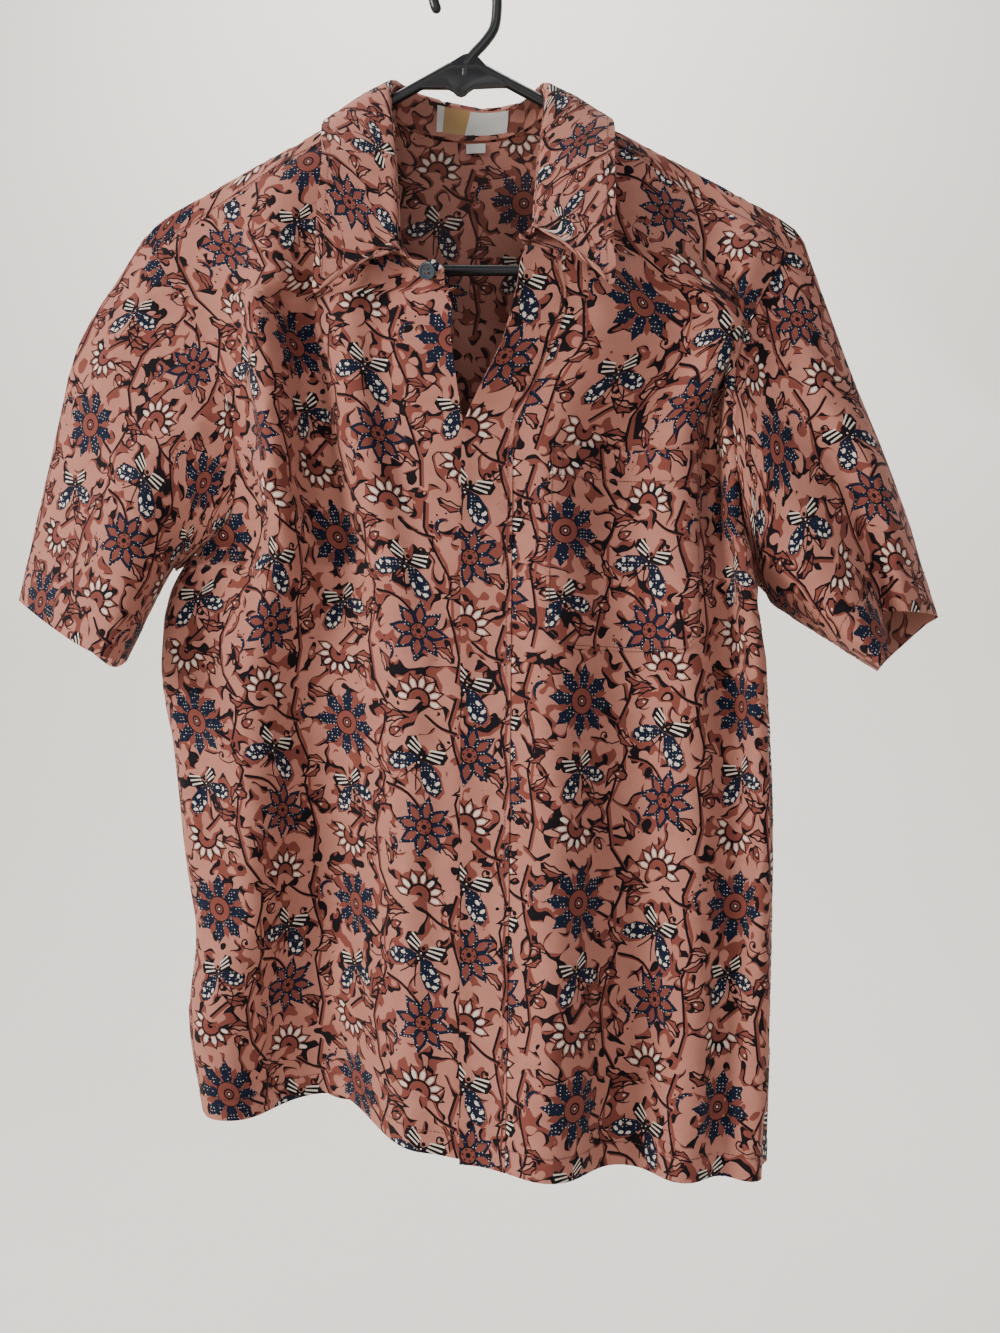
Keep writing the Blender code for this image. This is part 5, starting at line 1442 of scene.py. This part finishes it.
def stitch_tree():
    """Lays stitches along the lines of a mesh, square to the cloth it was given."""
    tree = bpy.data.node_groups.new("stitch_rows", "GeometryNodeTree")
    for name, kind, value in (
            ("Lines", "Geometry", None), ("Pitch", "Float", 0.0026), ("Stitch Length", "Float", 0.0021),
            ("Thread", "Float", 0.0006), ("Stitch", "Object", None), ("Finish", "Material", None)):
        socket = tree.interface.new_socket(name, in_out="INPUT", socket_type="NodeSocket" + kind)
        if value is not None:
            socket.default_value = value
    tree.interface.new_socket("Stitches", in_out="OUTPUT", socket_type="NodeSocketGeometry")
    made = {name: tree.nodes.new(kind) for name, kind in (
        ("in", "NodeGroupInput"), ("out", "NodeGroupOutput"), ("curve", "GeometryNodeMeshToCurve"),
        ("even", "GeometryNodeResampleCurve"), ("facing", "GeometryNodeInputNamedAttribute"),
        ("tangent", "GeometryNodeInputTangent"), ("along", "FunctionNodeAlignRotationToVector"),
        ("square", "FunctionNodeAlignRotationToVector"), ("place", "GeometryNodeInstanceOnPoints"),
        ("shape", "GeometryNodeObjectInfo"), ("size", "ShaderNodeCombineXYZ"),
        ("uneven", "FunctionNodeRandomValue"), ("longer", "ShaderNodeMath"),
        ("real", "GeometryNodeRealizeInstances"), ("finish", "GeometryNodeSetMaterial"))}
    made["even"].mode = "LENGTH"
    made["facing"].data_type = "FLOAT_VECTOR"
    made["facing"].inputs["Name"].default_value = "facing"
    made["along"].axis, made["square"].axis, made["square"].pivot_axis = "X", "Z", "X"
    made["uneven"].data_type = "FLOAT"
    for name, value in (("Min", 0.9), ("Max", 1.08), ("Seed", 11)):
        made["uneven"].inputs[name].default_value = value
    made["longer"].operation = "MULTIPLY"
    for source, output, target, socket in (
            ("in", "Lines", "curve", 0), ("curve", 0, "even", "Curve"), ("in", "Pitch", "even", "Length"),
            ("even", 0, "place", "Points"), ("tangent", 0, "along", "Vector"),
            ("along", 0, "square", "Rotation"), ("facing", "Attribute", "square", "Vector"),
            ("square", 0, "place", "Rotation"), ("in", "Stitch", "shape", "Object"),
            ("shape", "Geometry", "place", "Instance"), ("in", "Stitch Length", "longer", 0),
            ("uneven", 1, "longer", 1), ("longer", 0, "size", 0), ("in", "Thread", "size", 1),
            ("in", "Thread", "size", 2), ("size", 0, "place", "Scale"), ("place", 0, "real", 0),
            ("real", 0, "finish", "Geometry"), ("in", "Finish", "finish", "Material"),
            ("finish", 0, "out", 0)):
        tree.links.new(made[source].outputs[output], made[target].inputs[socket])
    return tree


STITCH = bpy.data.objects.new("one_stitch", stitch_mesh())
STITCH_TREE = stitch_tree()


def sew(name, rows, pitch=2.6, length=2.1, thread=0.62):
    """Rows of stitches; each row is the laid cloth, a line in its flat cut, and how far out it sits."""
    vertices, edges, facing = [], [], []
    for placed, line, out in rows:
        line = np.asarray(line, float)
        p, n = placed(line)
        p = p + n * out
        start = len(vertices)
        vertices += [tuple(q * MM) for q in p]
        facing += [tuple(q) for q in n]
        edges += [(start + k, start + k + 1) for k in range(len(line) - 1)]
    mesh = bpy.data.meshes.new(name)
    mesh.from_pydata(vertices, edges, [])
    mesh.attributes.new("facing", "FLOAT_VECTOR", "POINT").data.foreach_set(
        "vector", np.array(facing, np.float32).ravel())
    piece = add_object(name, mesh)
    modifier = piece.modifiers.new("stitches", "NODES")
    modifier.node_group = STITCH_TREE
    values = {"Pitch": pitch * MM, "Stitch Length": length * MM, "Thread": thread * MM, "Stitch": STITCH,
              "Finish": THREAD}
    for item in STITCH_TREE.interface.items_tree:
        if item.name in values and item.in_out == "INPUT":
            modifier[item.identifier] = values[item.name]
    made = bpy.data.meshes.new_from_object(piece.evaluated_get(bpy.context.evaluated_depsgraph_get()))
    piece.modifiers.clear()
    made.name = name
    piece.data = made
    for attribute in [a for a in made.attributes if a.name == "facing"]:
        made.attributes.remove(attribute)
    made.shade_smooth()
    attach(piece, "root")
    print(f"{name}: {sum(len(f.vertices) - 2 for f in made.polygons)} triangles", flush=True)
    return piece


PROUD = 0.1                  # how far rows of stitches stand out of the cloth, mm
PROUD_ON_TOP = 0.12          # and those on a piece laid over another


def bar_tack(placed, u, v, half=5.0):
    """A short dense zigzag across the top of a vent."""
    line = [(u - half + half * 2 * k / 12, v + (0.5 if k % 2 else -0.5)) for k in range(13)]
    return [(placed, line, PROUD_ON_TOP)]


def hem_rows(placed, u_from, u_to, v_hem, side_signs):
    """A panel's hem line, its vent lines and their bar tacks."""
    rows = [(placed, straight((u_from, v_hem - HEM_DEPTH), (u_to, v_hem - HEM_DEPTH), 150), PROUD)]
    for sign in side_signs:
        u = sign * (CHEST_HALF - 13.0)
        rows.append((placed, straight((u, VENT_V + 1), (u, v_hem - HEM_DEPTH), 30), PROUD))
        rows += bar_tack(placed, sign * (CHEST_HALF - 8.0), VENT_V)
    return rows


sew("front_right_stitches",
    hem_rows(LAID["front_right"], -(CHEST_HALF - 2), 17, HEM_V, (-1,)))
sew("front_left_stitches",
    hem_rows(LAID["front_left"], PLACKET_OUT + 1, CHEST_HALF - 2, HEM_V, (1,)))
seam_back = [(u, ridge_v(u) - shoulder_seam(u) + 2.6) for u in np.linspace(NECK_HALF + 1, 220.0, 50)]
sew("back_stitches",
    hem_rows(LAID["back"], -(CHEST_HALF - 2), CHEST_HALF - 2, BACK_HEM_V, (-1, 1))
    + [(LAID["back"], line, PROUD) for line in (seam_back, mirrored(seam_back))])
placket_line = straight((PLACKET_OUT - 3.4, depth_here + 1), (PLACKET_OUT - 3.4, HEM_V), 150)
placket_hem = straight((PLACKET_IN + 1, band_end - HEM_DEPTH), (PLACKET_OUT - 1, band_end - HEM_DEPTH), 12)
sew("placket_stitches",
    [(LAID["placket"], line, PROUD_ON_TOP) for line in (placket_line, placket_hem)])
pocket_rows = [[(u0 + 2, v0 + 1), (u0 + 2, v1 - cut - 1), (u0 + cut + 1, v1 - 2), (u1 - cut - 1, v1 - 2),
                (u1 - 2, v1 - cut - 1), (u1 - 2, v0 + 1)],
               [(u0 + 3, v0 + 21), (u1 - 3, v0 + 21)],
               [(u0 + 2, v0 + 21), (u0 + 7.5, v0 + 21), (u0 + 7.5, v0 + 1.5), (u0 + 2, v0 + 1.5)],
               [(u1 - 2, v0 + 21), (u1 - 7.5, v0 + 21), (u1 - 7.5, v0 + 1.5), (u1 - 2, v0 + 1.5)]]
sew("pocket_stitches",
    [(LAID["chest_pocket"], dense_open(row, 3.0), PROUD_ON_TOP) for row in pocket_rows],
    pitch=2.4, length=2.0)
for side in ("right", "left"):
    b = SLEEVE_LONG - CUFF_STITCH
    sew(f"sleeve_{side}_stitches",
        [(LAID[f"sleeve_{side}"], straight((1, b), (SLEEVE_ROUND - 1, b), 160), PROUD)])
inset = 6.0
leaf_row = (straight((leaf_end - inset, 10), (leaf_end - inset, LEAF_WIDE - inset), 24)
            + straight((leaf_end - inset, LEAF_WIDE - inset), (inset, LEAF_WIDE - inset), 170)[1:]
            + straight((inset, LEAF_WIDE - inset), (inset, 10), 24)[1:])
sew("collar_leaf_stitches", [(LAID["collar_leaf"], leaf_row, PROUD_ON_TOP)])
sew("collar_stand_stitches",
    [(LAID["collar_stand"], straight((3, 28), (COLLAR_LONG - 3, 28), 160), PROUD)])
bpy.data.objects.remove(STITCH, do_unlink=True)


# ---- button, label, size tag -------------------------------------------------------------
def finished(name, bm, material, node_name):
    """A bmesh in mm becomes a piece that stands for a node."""
    bmesh.ops.recalc_face_normals(bm, faces=bm.faces)
    mesh = to_mesh(bm, name)
    mesh.transform(Matrix.Scale(MM, 4))
    mesh.materials.append(material)
    mesh.shade_smooth()
    mesh.set_sharp_from_angle(angle=math.radians(38))
    piece = add_object(name, mesh)
    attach(piece, "root")
    if node_name:
        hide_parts(node_name)
    return piece


def lathe(bm, profile, turns):
    rings = []
    for r, z in profile:
        rings.append([bm.verts.new((r * math.cos(a), r * math.sin(a), z))
                      for a in np.arange(turns) * 2 * math.pi / turns])
    bridge(bm, rings)
    return rings


def button_form(radius, thick):
    """A four-hole button: a raised rim round a dished middle with real holes."""
    bm = bmesh.new()
    half = thick / 2
    dish = radius * 0.62
    rings = lathe(bm, [(dish, -half * 0.9), (radius * 0.9, -half), (radius, -half * 0.3),
                       (radius, half * 0.45), (radius * 0.93, half), (radius * 0.76, half * 0.95),
                       (dish, half * 0.35)], 40)
    spots, n = [(s * radius * 0.24, t * radius * 0.24) for s in (-1, 1) for t in (-1, 1)], 12
    hole = radius * 0.115
    ring = [(dish * math.cos(a), dish * math.sin(a)) for a in np.arange(40) * 2 * math.pi / 40]
    verts = [Vector(p) for p in ring]
    faces = [list(range(40))]
    for x, y in spots:
        faces.append(list(range(len(verts), len(verts) + n)))
        verts += [Vector((x + hole * math.cos(a), y + hole * math.sin(a)))
                  for a in np.arange(n) * 2 * math.pi / n]
    found = delaunay_2d_cdt(verts, [], faces, 1, 1e-7, True)
    flat = [(k, f) for k, f in enumerate(found[2]) if found[5][k] == [0]]
    for z, joined, up in ((half * 0.35, rings[-1], True), (-half * 0.9, rings[0], False)):
        made = []
        for k, p in enumerate(found[0]):
            source = found[3][k]
            match = [s for s in source if s < 40]
            made.append(joined[match[0]] if match else bm.verts.new((p[0], p[1], z)))
        for _, f in flat:
            bm.faces.new([made[i] for i in (f if up else f[::-1])])
        if up:
            top = made
    for number in range(4):
        start = 40 + number * n
        for k in range(n):
            a, b = start + k, start + (k + 1) % n
            ia = next(i for i, s in enumerate(found[3]) if a in s)
            ib = next(i for i, s in enumerate(found[3]) if b in s)
            bm.faces.new((top[ia], top[ib], made[ib], made[ia]))
    bmesh.ops.delete(bm, geom=[v for v in bm.verts if not v.link_faces], context="VERTS")
    return bm


seat, facing = LAID["collar_stand"](np.array([[BUTTON["station"] * PER_STATION, STAND_WIDE / 2]]))
seat, facing = Vector(seat[0]), Vector(facing[0])
turn = facing.to_track_quat("Z", "Y").to_matrix().to_4x4()
bm = button_form(BUTTON["radius"], BUTTON["thick"])
on_stand = Matrix.Translation(seat + facing * (BUTTON["thick"] / 2 + 1.0)) @ turn
bm.transform(on_stand)
finished("collar_button", bm, SHELL, "top_button")


def rod_between(bm, points, radius, sides=6):
    """A thread or rod through the points."""
    rings, p = [], [Vector(q) for q in points]
    for k, here in enumerate(p):
        way = (p[min(k + 1, len(p) - 1)] - p[max(k - 1, 0)]).normalized()
        side = way.cross(Vector((0.31, 0.2, 0.9))).normalized()
        other = way.cross(side)
        rings.append(ring_at(bm, here, side, other, radius, sides))
    bridge(bm, rings)
    bm.faces.new(rings[0][::-1])
    bm.faces.new(rings[-1])


bm = bmesh.new()
hole_at, high, low = BUTTON["radius"] * 0.24, BUTTON["thick"] * 0.42, -BUTTON["thick"] * 0.8
for sign in (-1, 1):
    for aside in (-0.18, 0.18):
        y = sign * hole_at + aside
        rod_between(bm, [(-hole_at, y, low), (-hole_at, y, high * 0.4), (-hole_at * 0.6, y, high),
                         (hole_at * 0.6, y, high), (hole_at, y, high * 0.4), (hole_at, y, low)], 0.2)
bm.transform(on_stand)
finished("button_thread", bm, THREAD, None)


def strip(name, node_name, rows, thickness, material_at):
    """A small woven strip from rows of points; its thickness goes to the inner side."""
    points = np.array([[tuple(p) for p in row] for row in rows])
    form = Lattice(np.arange(points.shape[1]), np.arange(points.shape[0]), points)
    if form.normals[..., 1].mean() > 0:
        form = Lattice(form.a, form.b, form.points, flip=True)
    bm = bmesh.new()
    layers = []
    for out in (0.0, -thickness):
        p = form.points + form.normals * out
        layers.append([[bm.verts.new(p[j, i]) for i in range(p.shape[1])] for j in range(p.shape[0])])
    front, rear = layers
    for j in range(points.shape[0] - 1):
        for i in range(points.shape[1] - 1):
            for layer in layers:
                face = bm.faces.new((layer[j][i], layer[j][i + 1], layer[j + 1][i + 1], layer[j + 1][i]))
                face.material_index = material_at(i)
    down, over = points.shape[:2]
    rim = ([(0, i) for i in range(over)] + [(j, over - 1) for j in range(1, down)]
           + [(down - 1, i) for i in range(over - 2, -1, -1)] + [(j, 0) for j in range(down - 2, 0, -1)])
    for (j, i), (m, k) in zip(rim, rim[1:] + rim[:1]):
        bm.faces.new((front[j][i], front[m][k], rear[m][k], rear[j][i]))
    piece = finished(name, bm, SATIN, node_name)
    piece.data.materials.append(OCHRE)
    return piece


LABEL_FROM, LABEL_LONG = 5.25, 1.5
label_rows = []
for b in np.linspace((1 - LABEL["high"]) * STAND_WIDE, (1 - LABEL["low"]) * STAND_WIDE, 9):
    line = [((LABEL_FROM + LABEL_LONG * i / 36) * PER_STATION, b) for i in range(37)]
    p, n = LAID["collar_stand"](np.array(line))
    label_rows.append(p - n * (1.9 + 0.25 * math.sin(b * 0.4)))
label = strip("neck_label_satin", "neck_label", label_rows, 0.35, lambda i: 1 if 3 <= i < 14 else 0)
tag_top = BACK.point(0.0, BACK_NECK_DROP + 1.0) + Vector((3.5, -2.15, 0))
tag_rows = [[tag_top + Vector((TAG["half"] * i / 4, -0.5 * k - 0.25 * math.cos(i * 0.7), -TAG["drop"] * k))
             for i in range(-4, 5)] for k in np.linspace(0, 1, 6)]
tag = strip("size_tag_satin", "size_tag", tag_rows, 0.35, lambda i: 0)

# ---- hanger ------------------------------------------------------------------------------
def lean(x, z):
    return Vector((x, 0, z - HANG_TILT * x))


def arm_z(x):
    return -93.4 - (abs(x) - 53.0) * ARM_SLOPE


def arc(cx, cz, radius, start, end, n):
    return [(cx + radius * math.cos(math.radians(start + (end - start) * i / n)),
             cz + radius * math.sin(math.radians(start + (end - start) * i / n))) for i in range(n + 1)]


def plastic_rod(bm, line, radius, closed, sides=20):
    """A round rod in the hanger's plane, with domed ends where it is open."""
    p = [Vector((q[0], 0, q[2])) for q in line]
    rings = []
    for k, here in enumerate(p):
        ahead, behind = p[(k + 1) % len(p)], p[k - 1]
        if not closed:
            ahead, behind = p[min(k + 1, len(p) - 1)], p[max(k - 1, 0)]
        way = (ahead - behind).normalized()
        side = Vector((0, 1, 0))
        other = way.cross(side)
        rings.append((here, way, ring_at(bm, here, side, other, radius, sides)))
    loops = [ring for _, _, ring in rings]
    bridge(bm, loops + (loops[:1] if closed else []))
    if not closed:
        for (here, way, ring), sign in ((rings[0], -1), (rings[-1], 1)):
            last = ring
            for angle in (30, 60):
                c, s = math.cos(math.radians(angle)), math.sin(math.radians(angle))
                new = [bm.verts.new(here + (v.co - here) * c + way * sign * s * radius) for v in ring]
                bridge(bm, [last, new])
                last = new
            tip = bm.verts.new(here + way * sign * radius)
            for k in range(sides):
                bm.faces.new((last[k], last[(k + 1) % sides], tip))


def smooth_line(points, step):
    p = np.asarray(points, float)
    run = np.concatenate([[0], np.cumsum(np.hypot(*np.diff(p, axis=0).T))])
    at = np.linspace(0, run[-1], int(run[-1] / step) + 1)
    return [(float(smooth_at(run, p[:, 0], s)), float(smooth_at(run, p[:, 1], s))) for s in at]


end_r = 18.0
right_side = [(10.0, arm_z(10.0)), (60.0, arm_z(60.0)), (120.0, arm_z(120.0)), (180.0, arm_z(180.0))]
right_side += arc(HANGER_HALF - end_r + 2, BAR_Z + end_r, end_r, 50, -90, 18)
bm = bmesh.new()
plastic_rod(bm, [lean(x, z) for x, z in right_side + [(-x, z) for x, z in reversed(right_side)]], ARM, True)
hook_line = smooth_line(arc(0, ROD - HOOK, HOOK, 205, 0, 40) + [
    (HOOK, ROD - HOOK - 12), (HOOK - 2, -43), (HOOK - 8, -52), (6, -61), (1, -68), (0, -76)], 2.2)
plastic_rod(bm, [lean(x, z) for x, z in hook_line], ROD, False)
# where the arms meet the hook: a flat web with a small drop under its middle
web_edge = [(-36, -84.4), (-12, -84.8), (-8.6, -86.6), (-6, -89.2), (-3, -90.2), (0, -89.2), (2.6, -86.6),
            (6, -84.6), (24, -84.0), (37, -84.2), (31, -78.0), (20, -72.6), (14.5, -69.0), (10.5, -64.5),
            (5, -60.5), (-1, -61.8), (-14, -69.5), (-30, -78.0)]
sides = []
for depth, shrink in ((-2.4, 1.5), (-3.2, 2.6), (2.4, 1.5), (3.2, 2.6)):
    ring = []
    for k, (x, z) in enumerate(web_edge):
        here = Vector((x, 0, z))
        way = Vector((web_edge[(k + 1) % len(web_edge)][0] - web_edge[k - 1][0], 0,
                      web_edge[(k + 1) % len(web_edge)][1] - web_edge[k - 1][1])).normalized()
        inward = Vector((-way.z, 0, way.x)) * (shrink - 1.5)
        ring.append(bm.verts.new(lean((here + inward).x, (here + inward).z) + Vector((0, depth, 0))))
    sides.append(ring)
bridge(bm, [sides[1], sides[0], sides[2], sides[3]])
bm.faces.new(sides[1][::-1])
bm.faces.new(sides[3])
finished("hanger_plastic", bm, PLASTIC, "hanger")

# ---- each cloth piece with the pieces it rests on, only listed ---------------------------
for piece, rests_on in ((front_right, ["back"]), (front_left, ["back"]), (back, ["hanger"]),
                        (placket, ["front_right"]), (pocket, ["front_left"]),
                        (sleeve_right, ["front_right", "back"]), (sleeve_left, ["front_left", "back"]),
                        (stand, ["back"]), (leaf, ["collar_stand"])):
    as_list(rests_on)


# ---- floor, backdrop and light -----------------------------------------------------------
def backdrop():
    """A pale floor that curves up into the wall, far enough behind to walk round the shirt."""
    stuff = Stuff("pale_wall")
    noise = stuff.noise(stuff.node("ShaderNodeTexCoord", "Object"), Scale=3.0, Detail=3.0)
    made = stuff.finish(stuff.mixed(noise, (0.88, 0.855, 0.80), (0.92, 0.895, 0.84)), None, 0, Roughness=0.9)
    wall, floor, bend = 2.3, -1.25, 0.9
    profile = [(-3.0, floor)] + [(wall - bend + bend * math.sin(a), floor + bend - bend * math.cos(a))
                                 for a in np.linspace(0, math.pi / 2, 16)] + [(wall, 1.6)]
    bm = bmesh.new()
    rows = [[bm.verts.new((x, y, z)) for x in (-5.0, 5.0)] for y, z in profile]
    for low, high in zip(rows, rows[1:]):
        bm.faces.new((low[0], low[1], high[1], high[0]))
    mesh = to_mesh(bm, "backdrop")
    mesh.shade_smooth()
    mesh.materials.append(made)
    add_object("backdrop", mesh)


def soft_light(name, at, to, size, watts, colour):
    lamp = bpy.data.lights.new(name, "AREA")
    lamp.shape, lamp.size, lamp.energy, lamp.color = "SQUARE", size, watts, colour
    holder = add_object(name, lamp)
    holder.location = at
    holder.rotation_euler = (Vector(to) - Vector(at)).to_track_quat("-Z", "Y").to_euler()


backdrop()
for light in (("key_from_left", (-1.9, -1.25, 0.5), (0.0, 0.0, -0.45), 0.8, 70.0, (1.0, 0.97, 0.93)),
              ("fill_from_front", (0.6, -2.4, 0.3), (0.0, 0.0, -0.5), 1.8, 16.0, (0.98, 0.98, 1.0)),
              ("wall_light", (-0.3, 0.9, 1.5), (0.0, 2.3, -0.5), 1.6, 62.0, (1.0, 0.98, 0.94)),
              ("light_on_the_back", (1.3, 1.7, 0.6), (0.0, 0.0, -0.45), 1.2, 12.0, (1.0, 0.98, 0.96))):
    soft_light(*light)
world = bpy.data.worlds.new("pale_room")
bpy.context.scene.world = world
world.use_nodes = True
room = world.node_tree.nodes["Background"].inputs
room["Color"].default_value, room["Strength"].default_value = (0.86, 0.88, 0.92, 1), 0.5
